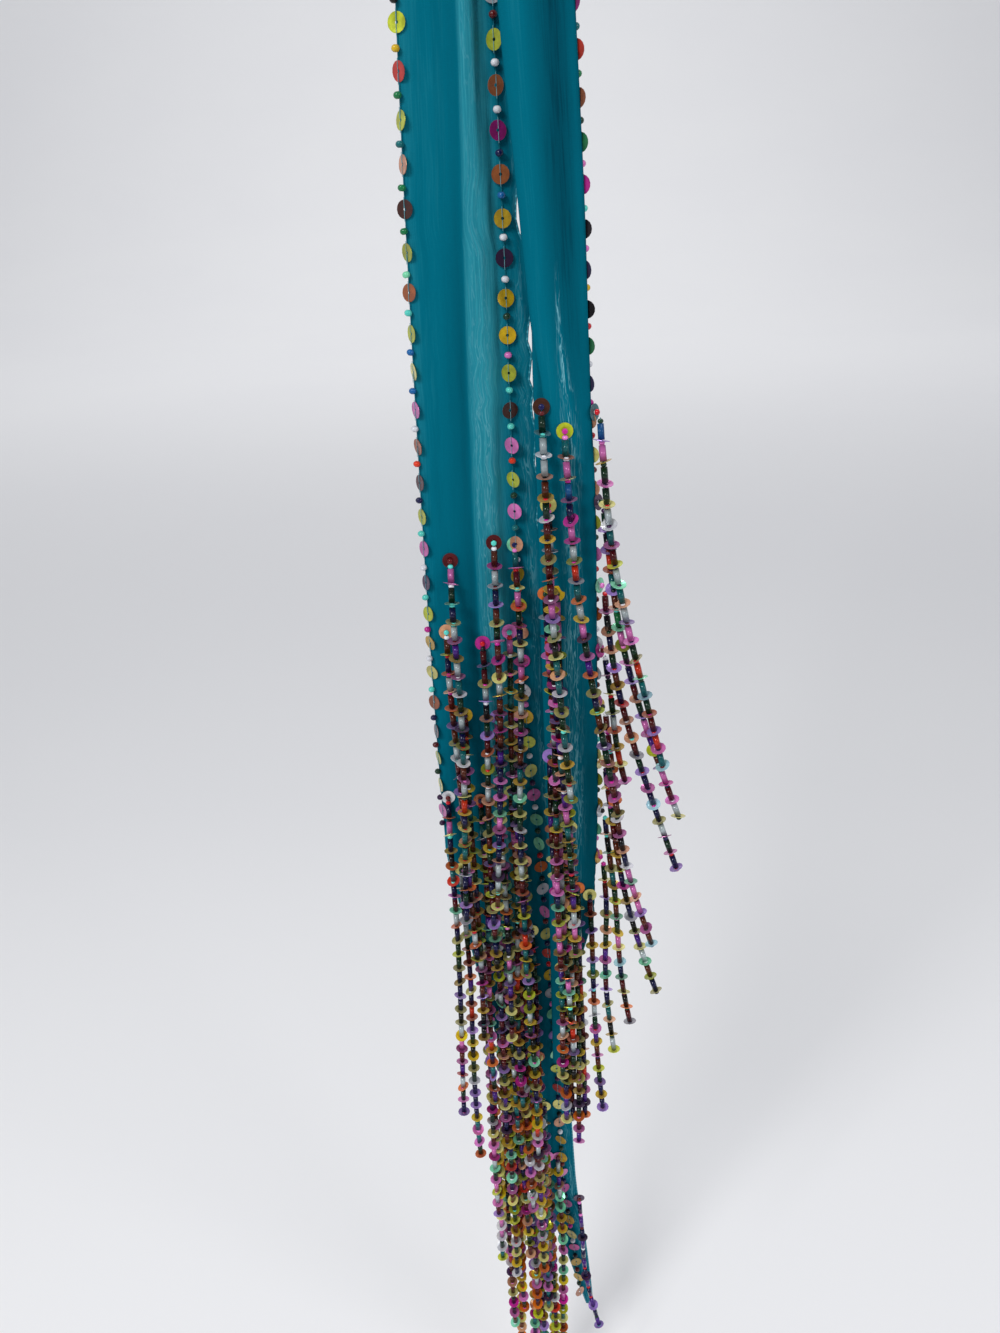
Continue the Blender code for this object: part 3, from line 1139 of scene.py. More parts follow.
@dataclass
class ShortTail(Tail):
    """The tail in front, pleated like a Z."""

    name: str = "cloth_short"
    node: str = "tail_short"
    corner: float = SHORT_CORNER
    tip: float = SHORT_TIP
    side: float = -1.0
    seed: float = 11.0
    creases: tuple[Crease, ...] = (
        Crease(24, 330, 0.68, 0.64, 0.050, -0.3),
        Crease(60, 420, 0.84, 0.82, 0.045, 0.3),
        Crease(330, 620, 0.64, 0.62, 0.040, 0.3),
        Crease(400, 640, 0.78, 0.76, 0.040, -0.25),
    )
    flat: tuple[float, float] = (0.052, 0.676)
    area: float = 0.0325

    def section(self, down: float) -> list[Point2]:
        """Both margins turned in, and the two folds of the Z between them.

        Args:
            down: the depth.

        Returns:
            The cloth's corners there, from its left hem to its right one.
        """
        row = row_at(SHORT, down)
        under, middle = row.front + 2 * LAYER, row.front + LAYER
        return [
            (row.under_l + MARGIN, under + 2.0),
            (row.under_l + 1.3, under + 1.8),
            (row.under_l, under + 0.9),
            (row.under_l + 1.3, under),
            (row.under_r - 1.2, under),
            (row.under_r, mix(under, middle, 0.5)),
            (row.under_r - 1.2, middle),
            (row.fold + 1.2, middle),
            (row.fold, mix(middle, row.front, 0.5)),
            (row.fold + 1.4, row.front),
            ((row.fold + row.right) / 2, row.front - 0.5),
            (row.right - 1.5, row.front - 0.1),
            (row.right, row.front + 0.8),
            (row.right - 1.3, row.front + 1.7),
            (row.right - MARGIN, row.front + 1.9),
        ]

    def stretch(self, down: float) -> tuple[float, float]:
        """The cloth ends further in down its slanted end."""
        return 0.0, 1.0 - self.gone(down) * (1 - SHORT_KEPT)

    def wander(self, down: float, shares: np.ndarray) -> np.ndarray:
        """As on any tail, but the pleat's hidden layers lie quiet, clear of each other."""
        open_face = past(shares, 0.585, 0.012) * past(shares, 0.885, -0.012)
        return super().wander(down, shares) * mix(0.12, 1.0, open_face)

    def crackle(self, down: float, points: np.ndarray) -> np.ndarray:
        """A wavering band of crackle widens down the front layer.

        Args:
            down: the level's depth.
            points: the level's points.

        Returns:
            The strength at each point, from 0 to 1.
        """
        row = row_at(SHORT, down)
        wobble = 0.45 * math.sin(down / 21.0) + 0.25 * math.sin(down / 8.0)
        lower = eased((down - 330) / 120)
        centre = mix(row.fold, row.right, mix(0.53, 0.45, lower)) + wobble
        half = 0.35 + 1.9 * eased((down - 366) / 60)
        band = bell(points[:, 0], centre, half) * eased((down - 362) / 12)
        return band * mix(1.0, 0.75, eased((down - 480) / 80))

    def pale(self, down: float, points: np.ndarray) -> np.ndarray:
        """Painted light near the fold, painted shade deepest in the middle and over the whole tail,
        and a painted highlight at the right edge.

        Args:
            down: the level's depth.
            points: the level's points.

        Returns:
            How pale each point is, from -1 to 1.
        """
        row = row_at(SHORT, down)
        x = points[:, 0]
        upper = 1 - eased((down - 330) / 120)
        # soft painted light near the fold
        centre = mix(row.fold, row.right, 0.2) + 0.5 * math.sin(down / 37.0)
        soft = 0.34 * mix(0.4, 1.0, upper) * bell(x, centre, 3.8)
        # painted highlight along the right edge
        uneven = 1 + 0.35 * math.sin(down / 13.0) + 0.2 * math.sin(down / 5.3)
        edge = 0.16 * upper * uneven * bell(x, row.right - 1.9, 2.2)
        # painted shade, deepest in the middle
        deep = -0.44 * upper * bell(x, mix(row.fold, row.right, 0.7), 4.4)
        streak = 0.3 * self.crackle(down, points)
        # painted shade over the whole tail, less of it lower down
        ground = 0.12 * (1 - upper) - 0.34
        return np.clip(ground + soft + edge + deep + streak, -1.0, 1.0)


@dataclass
class HoldFold:
    """The gathered stretch at the hold, from the tail behind to the one in front."""

    name: str = "cloth_over_hand"
    node: str = "middle_over_hand"
    columns: int = 120
    rows: int = 40
    straight: float = HOLD_DOWN - HOLD_RADIUS
    fine_gathers: float = 9.0
    ridge_highlight: float = 0.11
    flat: tuple[float, float] = (0.052, 0.068)

    @property
    def total(self) -> float:
        """How long the fold is from end to end, in millimetres."""
        return 2 * self.straight + math.pi * HOLD_RADIUS

    def point(self, share: float, travelled: float) -> Vector:
        """A point of the fold.

        Args:
            share: the place across, from -1 to 1.
            travelled: how far along the fold, in millimetres.

        Returns:
            The point, in millimetres.
        """
        fine = 0.7 + 0.22 * math.sin(travelled / 7.0 + share * 3.0)
        swing = 0.3 * math.sin(travelled / 6.0)
        out = float(gather_out(share))
        out += fine * math.cos(math.pi * self.fine_gathers * share + swing)
        out += 0.5 * noise.noise(Vector((share * 5.0, travelled / 40.0, 9.0)))
        reach = HOLD_RADIUS + out
        x = share * HOLD_HALF + 0.4 * math.sin(travelled / 9.0 + share * 5.0)
        if travelled < self.straight:
            return Vector((x, reach, travelled - HOLD_DOWN))
        if travelled > self.total - self.straight:
            return Vector((x, -reach, self.total - travelled - HOLD_DOWN))
        turn = (travelled - self.straight) / HOLD_RADIUS
        return Vector((x, reach * math.cos(turn), reach * math.sin(turn) - HOLD_RADIUS))

    def build(self, look: bpy.types.Material) -> bpy.types.Object:
        """The fold, as a finished piece.

        Args:
            look: the cloth's material.

        Returns:
            The piece, which stands for the fold's solid.
        """
        bm = new_cloth(self.columns, self.rows)
        pale = bm.verts.layers.float["pale"]
        flat = {}
        for vert in bm.verts:
            share, travelled = vert.co.x * 2, (vert.co.y + 0.5) * self.total
            flat[vert] = ((vert.co.x + 0.5) * self.flat[0], travelled * MM)
            # painted highlight on the gathers that stand out furthest
            vert[pale] = self.ridge_highlight * (float(gather_out(share)) - 1.0)
            vert.co = self.point(share, travelled) * MM
        return new_shell(self.name, bm, flat, look, self.node)


# Beads, sequins and thread


class Notion(Enum):
    """The small things that are sewn or strung on."""

    FLAT_SEQUIN = "flat sequin"
    CUPPED_SEQUIN = "cupped sequin"
    TUBE = "tube"
    SEED = "seed"
    EDGE_SEED = "edge seed"
    STITCH = "stitch"


@dataclass
class Template:
    """One small thing, modelled once at the origin with its hole along Z."""

    mesh: bpy.types.Mesh
    rest: np.ndarray = field(init=False)

    def __post_init__(self) -> None:
        """Keep the mesh's own points, to place copies from."""
        self.rest = np.empty(len(self.mesh.vertices) * 3, dtype=np.float64)
        self.mesh.vertices.foreach_get("co", self.rest)
        self.rest = self.rest.reshape(-1, 3)
        self.mesh.attributes.new("tint", "FLOAT_COLOR", "POINT")

    def put(self, bm: bmesh.types.BMesh, place: Matrix, tone: Tone, light: float = 1.0) -> None:
        """Add a coloured copy to a mesh.

        Args:
            bm: the mesh that it joins.
            place: where it goes.
            tone: its colour.
            light: how light that colour is, where 1 is as the box has it; below 1 it is painted
                shade on that copy.
        """
        spot = np.array(place)
        moved = self.rest @ spot[:3, :3].T + spot[:3, 3]
        self.mesh.vertices.foreach_set("co", moved.astype(np.float32).ravel())
        shown = np.array(linear(tone.value), dtype=np.float32) * (light, light, light, 1.0)
        colours = np.tile(shown.astype(np.float32), len(self.mesh.vertices))
        self.mesh.attributes["tint"].data.foreach_set("color", colours)
        bm.from_mesh(self.mesh)


@dataclass
class Haberdashery:
    """The things that are sewn on: their sizes in millimetres, and their templates."""

    sequin_across: float = 5.6
    sequin_hole: float = 1.0
    sequin_thick: float = 0.16
    flat_cup: float = 0.06
    deep_cup: float = 0.45
    tube_long: float = 5.1
    tube_across: float = 2.35
    tube_dimple: float = 0.5
    seed_across: float = 2.1
    seed_long: float = 1.5
    edge_seed_across: float = 2.6
    edge_seed_long: float = 1.9
    stitch_radius: float = 0.09
    templates: dict[Notion, Template] = field(default_factory=dict)

    def keep(self, notion: Notion, bm: bmesh.types.BMesh, stuff: Stuff, smooth: bool) -> None:
        """Store a small mesh as a template.

        Args:
            notion: what it is.
            bm: its mesh in millimetres; it is freed.
            stuff: what it is made of.
            smooth: whether its faces are shaded round.
        """
        for face in bm.faces:
            face.smooth = smooth and len(face.verts) < 5
            face.material_index = stuff.value
        bmesh.ops.scale(bm, vec=(MM, MM, MM), verts=bm.verts)
        bmesh.ops.recalc_face_normals(bm, faces=bm.faces)
        mesh = bpy.data.meshes.new(notion.value)
        bm.to_mesh(mesh)
        bm.free()
        self.templates[notion] = Template(mesh)

    def sequin(self, notion: Notion, cup: float, sides: int) -> None:
        """A sequin with its centre hole, flat or cupped.

        Args:
            notion: what it is.
            cup: how deep its middle lies.
            sides: how many sides its round has.
        """
        bm = bmesh.new()
        bmesh.ops.create_circle(
            bm, cap_ends=True, segments=sides, radius=self.sequin_across / 2
        )
        inner = (self.sequin_across - self.sequin_hole) / 2
        bmesh.ops.inset_individual(
            bm, faces=bm.faces[:], thickness=inner, use_even_offset=False
        )
        middle = max(bm.faces, key=lambda face: len(face.verts))
        bmesh.ops.translate(bm, vec=(0, 0, -cup), verts=middle.verts[:])
        bmesh.ops.delete(bm, geom=[middle], context="FACES_ONLY")
        bmesh.ops.solidify(bm, geom=bm.faces[:], thickness=self.sequin_thick)
        self.keep(notion, bm, Stuff.FILM, smooth=False)

    def tube(self) -> None:
        """A glass tube with a dimple at each end for its hole."""
        bm = bmesh.new()
        radius = self.tube_across / 2
        bmesh.ops.create_cone(
            bm, cap_ends=True, segments=8, radius1=radius, radius2=radius, depth=self.tube_long
        )
        caps = [face for face in bm.faces if len(face.verts) > 4]
        rim = radius * 0.55
        bmesh.ops.inset_individual(bm, faces=caps, thickness=rim, use_even_offset=False)
        for cap in caps:
            inward = -math.copysign(self.tube_dimple, cap.calc_center_median().z)
            bmesh.ops.translate(bm, vec=(0, 0, inward), verts=cap.verts[:])
        self.keep(Notion.TUBE, bm, Stuff.TUBE, smooth=True)

    def seed(self, notion: Notion, across: float, long: float) -> None:
        """A seed bead: a squat ball, flattened and dimpled where its hole is.

        Args:
            notion: what it is.
            across: its width.
            long: its length along its hole.
        """
        bm = bmesh.new()
        bmesh.ops.create_uvsphere(bm, u_segments=9, v_segments=6, radius=0.5)
        bmesh.ops.scale(bm, vec=(across, across, long * 1.18), verts=bm.verts)
        for vert in bm.verts:
            vert.co.z = min(max(vert.co.z, -long / 2), long / 2)
            at_end = abs(vert.co.z) >= long / 2 - 1e-6
            if at_end and vert.co.xy.length < 0.1:
                vert.co.z *= 0.55
        self.keep(notion, bm, Stuff.SEED, smooth=True)

    def stitch(self) -> None:
        """A stretch of thread, one millimetre long, that runs over a sewn-on sequin."""
        bm = bmesh.new()
        radius = self.stitch_radius
        bmesh.ops.create_cone(
            bm, cap_ends=True, segments=4, radius1=radius, radius2=radius, depth=1.0
        )
        self.keep(Notion.STITCH, bm, Stuff.THREAD, smooth=False)

    def fill(self) -> None:
        """Model every template."""
        self.sequin(Notion.FLAT_SEQUIN, self.flat_cup, 16)
        self.sequin(Notion.CUPPED_SEQUIN, self.deep_cup, 12)
        self.tube()
        self.seed(Notion.SEED, self.seed_across, self.seed_long)
        self.seed(Notion.EDGE_SEED, self.edge_seed_across, self.edge_seed_long)
        self.stitch()

    def tidy(self) -> None:
        """Remove the templates' meshes once everything is strung."""
        for template in self.templates.values():
            bpy.data.meshes.remove(template.mesh)
        self.templates.clear()


def new_stringing() -> bmesh.types.BMesh:
    """An empty mesh that keeps each bead's tint.

    Returns:
        The mesh.
    """
    bm = bmesh.new()
    bm.verts.layers.float_color.new("tint")
    return bm


def framed(
    place: Vector, axis: Vector, turn: float, tip: float = 0.0, tip_way: float = 0.0
) -> Matrix:
    """Where a small thing goes.

    Args:
        place: its centre, in millimetres.
        axis: the way its hole runs.
        turn: how far it is turned about its hole.
        tip: how far it tips off its hole's line.
        tip_way: the direction in which it tips.

    Returns:
        The matrix for its template, in metres.
    """
    facing = axis.normalized().to_track_quat("Z", "Y").to_matrix().to_4x4()
    lean = Matrix.Rotation(tip_way, 4, "Z") @ Matrix.Rotation(tip, 4, "X")
    return Matrix.Translation(place * MM) @ facing @ lean @ Matrix.Rotation(turn, 4, "Z")


def first_ring(
    bm: bmesh.types.BMesh, path: Sequence[Vector], radius: float, sides: int, capped: bool
) -> tuple[list[bmesh.types.BMVert], list[bmesh.types.BMEdge]]:
    """The ring that a tube along a path starts from.

    Args:
        bm: the mesh that it joins.
        path: the path's points.
        radius: the tube's radius.
        sides: how many sides the tube has.
        capped: whether the ring is closed by a face.

    Returns:
        The ring's points and its edges.
    """
    way = (path[1] - path[0]).normalized()
    start = Matrix.Translation(path[0]) @ way.to_track_quat("Z", "Y").to_matrix().to_4x4()
    made = bmesh.ops.create_circle(
        bm, cap_ends=capped, segments=sides, radius=radius, matrix=start
    )
    edges = dict.fromkeys(edge for vert in made["verts"] for edge in vert.link_edges)
    return list(made["verts"]), list(edges)


def next_ring(
    bm: bmesh.types.BMesh, edges: Sequence[bmesh.types.BMEdge], step: Vector
) -> tuple[list[bmesh.types.BMVert], list[bmesh.types.BMEdge]]:
    """The next ring of a tube, with the faces that lead to it.

    Args:
        bm: the tube's mesh.
        edges: the last ring's edges.
        step: the way from that ring to the next.

    Returns:
        The new ring's points and its edges.
    """
    grown = bmesh.ops.extrude_edge_only(bm, edges=edges)["geom"]
    fresh = [item for item in grown if isinstance(item, bmesh.types.BMVert)]
    bmesh.ops.translate(bm, vec=step, verts=fresh)
    return fresh, [item for item in grown if isinstance(item, bmesh.types.BMEdge)]


def thread_run(bm: bmesh.types.BMesh, path: Sequence[Vector], radius: float) -> None:
    """A thread along a path, as a closed tube of four sides.

    Args:
        bm: the mesh that it joins.
        path: the points that it follows, in metres.
        radius: its radius, in metres.
    """
    tint = bm.verts.layers.float_color["tint"]
    verts, first = first_ring(bm, path, radius, 4, capped=False)
    edges = first
    for here, following in zip(path, path[1:]):
        fresh, edges = next_ring(bm, edges, following - here)
        verts += fresh
    faces = list(dict.fromkeys(face for vert in verts for face in vert.link_faces))
    for ring in (first, edges):
        faces += bmesh.ops.contextual_create(bm, geom=ring)["faces"]
    bmesh.ops.recalc_face_normals(bm, faces=faces)
    colour = linear(Tone.THREAD.value)
    for vert in verts:
        vert[tint] = colour
    for face in faces:
        face.material_index = Stuff.THREAD.value


class Edge(Enum):
    """The scarf's long edges, two to each tail."""

    LONG_LEFT = "long left"
    LONG_RIGHT = "long right"
    SHORT_RIGHT = "short right"
    SHORT_LEFT = "short left"


@dataclass
class Edging:
    """Sequins and seed beads in turn down one long edge.

    The listed tones run down from `first_sequin`; above and below them tones are drawn. A
    sequin swivels by up to `swivel` about its thread, and `proud` is how far that lifts it.
    Lower down the row turns by `side_on`, and near the hold it stands out of the gathers.
    """

    name: str
    tail: Tail
    line: Edge
    down_to: float
    facing: tuple[float, float]
    first_sequin: float
    chance_seed: int
    sequins: tuple[Tone, ...] = ()
    seeds: tuple[Tone, ...] = ()
    down_from: float = 27.0
    lead: float = 3.2
    pitch: float = 11.45
    out: float = 0.5
    seed_out: float = 0.9
    thread_out: float = 0.35
    thread_radius: float = 0.14
    thread_step: float = 9.0
    stitch_out: float = 0.24
    stitch_off: float = 1.9
    stitch_long: float = 3.0
    stand_at_top: float = 1.3
    swivel: float = 0.35
    side_on: float = 0.0
    proud: float = 0.0

    def spot(self, down: float) -> Vector:
        """The stitch line's point at a depth.

        Args:
            down: the depth.

        Returns:
            The point, in millimetres.
        """
        long, short = row_at(LONG, down), row_at(SHORT, down)
        x, y = {
            Edge.LONG_LEFT: (long.left + 0.5, long.back + 0.6),
            Edge.LONG_RIGHT: (long.trim, long.back - 0.7),
            Edge.SHORT_RIGHT: (short.right - 0.9, short.front + 1.5),
            Edge.SHORT_LEFT: (short.under_l + 4.0, short.front + 2 * LAYER + 2.4),
        }[self.line]
        return Vector((x, self.tail.drawn_in(down, x, y), -down))

    def sew_sequin(
        self,
        bm: bmesh.types.BMesh,
        drawer: Haberdashery,
        chance: random.Random,
        down: float,
        tone: Tone,
    ) -> None:
        """Sew one flat sequin on, with its two stitches.

        Args:
            bm: the mesh that it joins.
            drawer: the templates.
            chance: where its slight turns come from.
            down: its depth.
            tone: its colour.
        """
        out = Vector((*self.facing, 0.0)).normalized()
        swivel = chance.uniform(-self.swivel, self.swivel)
        swung = Matrix.Rotation(self.side_on * eased((down - 300) / 100) + swivel, 3, "Z")
        face = (swung @ out + Vector((0, 0, chance.uniform(-0.12, 0.12)))).normalized()
        lifted = self.out + abs(math.sin(swivel)) * drawer.sequin_across * self.proud
        lifted += self.stand_at_top * (1 - eased((down - HOLD_DOWN) / 46))
        centre = self.spot(down + chance.uniform(-0.4, 0.4)) + out * lifted
        sewn = framed(centre, face, chance.uniform(0, FULL_TURN))
        # the sequin's tone darkened at random, as painted shade
        drawer.templates[Notion.FLAT_SEQUIN].put(bm, sewn, tone, chance.uniform(0.42, 0.68))
        drop = self.drop(down)
        for way in (-1, 1):
            middle = centre + face * self.stitch_out + drop * way * self.stitch_off
            stretch = framed(middle, drop, 0.4) @ Matrix.Diagonal((1, 1, self.stitch_long, 1))
            drawer.templates[Notion.STITCH].put(bm, stretch, Tone.PALE_THREAD)

    def drop(self, down: float) -> Vector:
        """The way that the stitch line runs at a depth."""
        return (self.spot(down + 3) - self.spot(down - 3)).normalized()

    def build(self, drawer: Haberdashery, box: BeadBox) -> bpy.types.Object:
        """Sew the edging on.

        Args:
            drawer: the templates of sequins, seeds and stitches.
            box: the materials.

        Returns:
            The finished edging as one piece.
        """
        chance = random.Random(self.chance_seed)
        bm = new_stringing()
        out = Vector((*self.facing, 0.0)).normalized()
        offset = (self.first_sequin - self.down_from - self.lead) % self.pitch
        for down in np.arange(self.down_from + self.lead + offset, self.down_to - 2.5, self.pitch):
            down = float(down)
            listed = int(round((down - self.first_sequin) / self.pitch))
            charted = 0 <= listed < len(self.sequins)
            tone = self.sequins[listed] if charted else drawn(chance, SEQUIN_MIX)
            self.sew_sequin(bm, drawer, chance, down, tone)
            between = down + self.pitch / 2 + chance.uniform(-0.5, 0.5)
            if between < self.down_to - 2:
                charted = 0 <= listed < len(self.seeds)
                tone = self.seeds[listed] if charted else drawn(chance, SEED_MIX)
                middle = self.spot(between) + out * self.seed_out
                lean = self.drop(down) + Vector((chance.uniform(-0.3, 0.3), 0, 0))
                seed = framed(middle, lean.normalized(), 0.0)
                # the seed's tone darkened a little, as painted shade
                drawer.templates[Notion.EDGE_SEED].put(bm, seed, tone, 0.78)
        downs = np.arange(self.down_from, self.down_to - 1, self.thread_step)
        thread = [(self.spot(float(down)) + out * self.thread_out) * MM for down in downs]
        thread_run(bm, thread, self.thread_radius * MM)
        piece = new_piece(self.name, bm, box.materials())
        return piece


@dataclass(frozen=True)
class StrandRow:
    """One backing and its strands, as its solid has them.

    `across` has each strand's place, and `swing` how far to the right its end hangs.
    """

    node: str
    down: float
    length: float
    across: tuple[float, ...]
    swing: tuple[float, ...]


LONG_ROWS = (
    StrandRow("fringe_long_1", 452, 148, (-21.2, -5.4, 1.9), (-1.0, -4.5, -1.5)),
    StrandRow("fringe_long_2", 487, 146, (-24.3, -11.2, -1.2), (5.0, -1.0, 0.0)),
    StrandRow("fringe_long_3", 522, 148, (-19.3, -7.2, 0.2), (0.0, -0.5, 0.2)),
    StrandRow("fringe_long_4", 557, 156, (-28.2, -15.4, -3.2), (-1.6, 0.0, 0.0)),
    StrandRow("fringe_long_5", 592, 150, (-25.0, -12.0, -7.0, 1.4), (1.6, 0.6, 0.5, 0.3)),
    StrandRow("fringe_long_6", 627, 152, (-17.6, -10.2, -2.0, 3.4), (0.4, 0.4, 0.4, 0.0)),
    StrandRow("fringe_long_7", 662, 160, (-18.2, -11.6, -4.4, 2.2), (2.0, 0.5, 0.5, 0.5)),
    StrandRow("fringe_long_8", 697, 164, (-13.0, -8.0, -1.6, 4.4), (0.4, 0.5, 0.5, 0.5)),
    StrandRow("fringe_long_9", 732, 160, (-7.4, -2.8, 2.0, 6.6), (-1.6, 0.5, 0.5, 0.8)),
    StrandRow("fringe_long_10", 768, 130, (2.4, 7.4, 12.2), (-0.8, 0.6, 1.0)),
    StrandRow("fringe_long_11", 800, 84, (22.4,), (8.4,)),
)
SHORT_ROWS = (
    StrandRow("fringe_short_1", 404, 146, (11.8, 19.2), (6.6, 17.0)),
    StrandRow("fringe_short_2", 437, 148, (13.4,), (4.6,)),
    StrandRow("fringe_short_3", 470, 150, (11.8, 15.8), (3.0, 4.0)),
    StrandRow("fringe_short_4", 503, 148, (14.4,), (3.0,)),
    StrandRow("fringe_short_5", 535, 150, (12.0, 16.2), (2.0, 3.0)),
    StrandRow("fringe_short_6", 567, 150, (14.6, 19.4), (1.2, 1.6)),
    StrandRow("fringe_short_7", 598, 112, (16.8, 22.2, 27.0), (1.0, 1.0, 4.4)),
)


@dataclass(frozen=True)
class Chart:
    """The tones of one strand's upper part: its root sequin, then each tube and sequin.

    `late` is how far below its row's depth the strand starts.
    """

    root: Tone
    late: float
    units: tuple[tuple[Tone, ...], ...]


CHARTS = {
    ("fringe_short_1", 0): Chart(Tone.BROWN, 0.0, pairs(
        "BOTTLE TEAL, GREY PEARL, GREY PEACH, AMBER MUSTARD, BOTTLE PEARL, MAROON MUSTARD, "
        "AMBER PALE_YELLOW, MAROON ORANGE, MAROON PINK"
    )),
    ("fringe_short_1", 1): Chart(Tone.LIME, 8.0, pairs(
        "TEAL COPPER, PINK PALE_YELLOW, BLUE PINK, NAVY MAGENTA, PINK MAGENTA, GREY LIME, "
        "RED_ORANGE PEARL, TEAL ORANGE, GREY MUSTARD"
    )),
    ("fringe_long_1", 0): Chart(Tone.MAROON, 7.0, pairs(
        "PINK PINK, BOTTLE MINT, NAVY PALE_YELLOW, GREY PINK, VIOLET MUSTARD, GREY PINK"
    )),
    ("fringe_long_1", 1): Chart(Tone.MAROON, 0.0, pairs(
        "AMBER MAGENTA, GREY PEARL, NAVY LILAC, AMBER PALE_YELLOW, BOTTLE PINK, AMBER MAGENTA"
    )),
    ("fringe_long_1", 2): Chart(Tone.MINT, 2.0, pairs(
        "TEAL PINK, MAROON PALE_YELLOW, PINK ORANGE, BOTTLE MAGENTA, NAVY PALE_YELLOW, "
        "GREY MAGENTA"
    )),
    ("fringe_short_edge_upper", 0): Chart(Tone.TEAL, 0.0, pairs(
        "BLUE LILAC, PINK MUSTARD, BOTTLE PINK, BOTTLE PALE_YELLOW, GREY PEARL, TEAL PINK, "
        "MAROON LIME, GREY MINT, TEAL PEACH, GREY LILAC, PINK PINK, BOTTLE PALE_YELLOW"
    )),
    ("fringe_short_edge_upper", 1): Chart(Tone.PLUM, 0.0, pairs(
        "BOTTLE LILAC, BLACK LILAC, RED_ORANGE ORANGE, TEAL LILAC, AMBER PEACH, GREEN MINT, "
        "PINK LIME, BOTTLE PINK, NAVY LILAC"
    )),
    ("fringe_long_11", 0): Chart(Tone.PLUM, 0.0, pairs(
        "NAVY BARE, VIOLET BARE, NAVY PLUM, VIOLET BARE, NAVY BARE, VIOLET BARE, NAVY PLUM, "
        "VIOLET BARE, NAVY BARE, VIOLET LILAC, NAVY BARE, VIOLET LILAC"
    )),
}


@dataclass(frozen=True)
class EdgeStrand:
    """A strand that swings out from the short tail's right edge."""

    down: float
    length: float
    swing: float


EDGE_UPPER = (EdgeStrand(408, 121, 22.0), EdgeStrand(438, 117, 28.5), EdgeStrand(468, 114, 29.5))
EDGE_LOWER = (
    EdgeStrand(493, 52, 10.0),
    EdgeStrand(516, 100, 19.0),
    EdgeStrand(540, 100, 21.5),
    EdgeStrand(562, 94, 12.0),
    EdgeStrand(584, 92, 5.0),
)


@dataclass
class StrandLine:
    """The line that a strand hangs along, read by the way down it, in millimetres."""

    points: Sequence[Vector]
    spots: np.ndarray = field(init=False)
    steps: list[float] = field(init=False)

    def __post_init__(self) -> None:
        """Add up the way to each point."""
        self.spots = np.array([tuple(point) for point in self.points])
        self.steps = [0.0]
        for one, other in zip(self.points, self.points[1:]):
            self.steps.append(self.steps[-1] + (other - one).length)

    @property
    def length(self) -> float:
        """The whole way down it."""
        return self.steps[-1]

    def at(self, reach: float) -> Vector:
        """The line's point a given way down it."""
        return Vector([float(np.interp(reach, self.steps, self.spots[:, k])) for k in range(3)])

    def way(self, reach: float) -> Vector:
        """The line's direction a given way down it."""
        return (self.at(reach + 1.5) - self.at(reach - 1.5)).normalized()


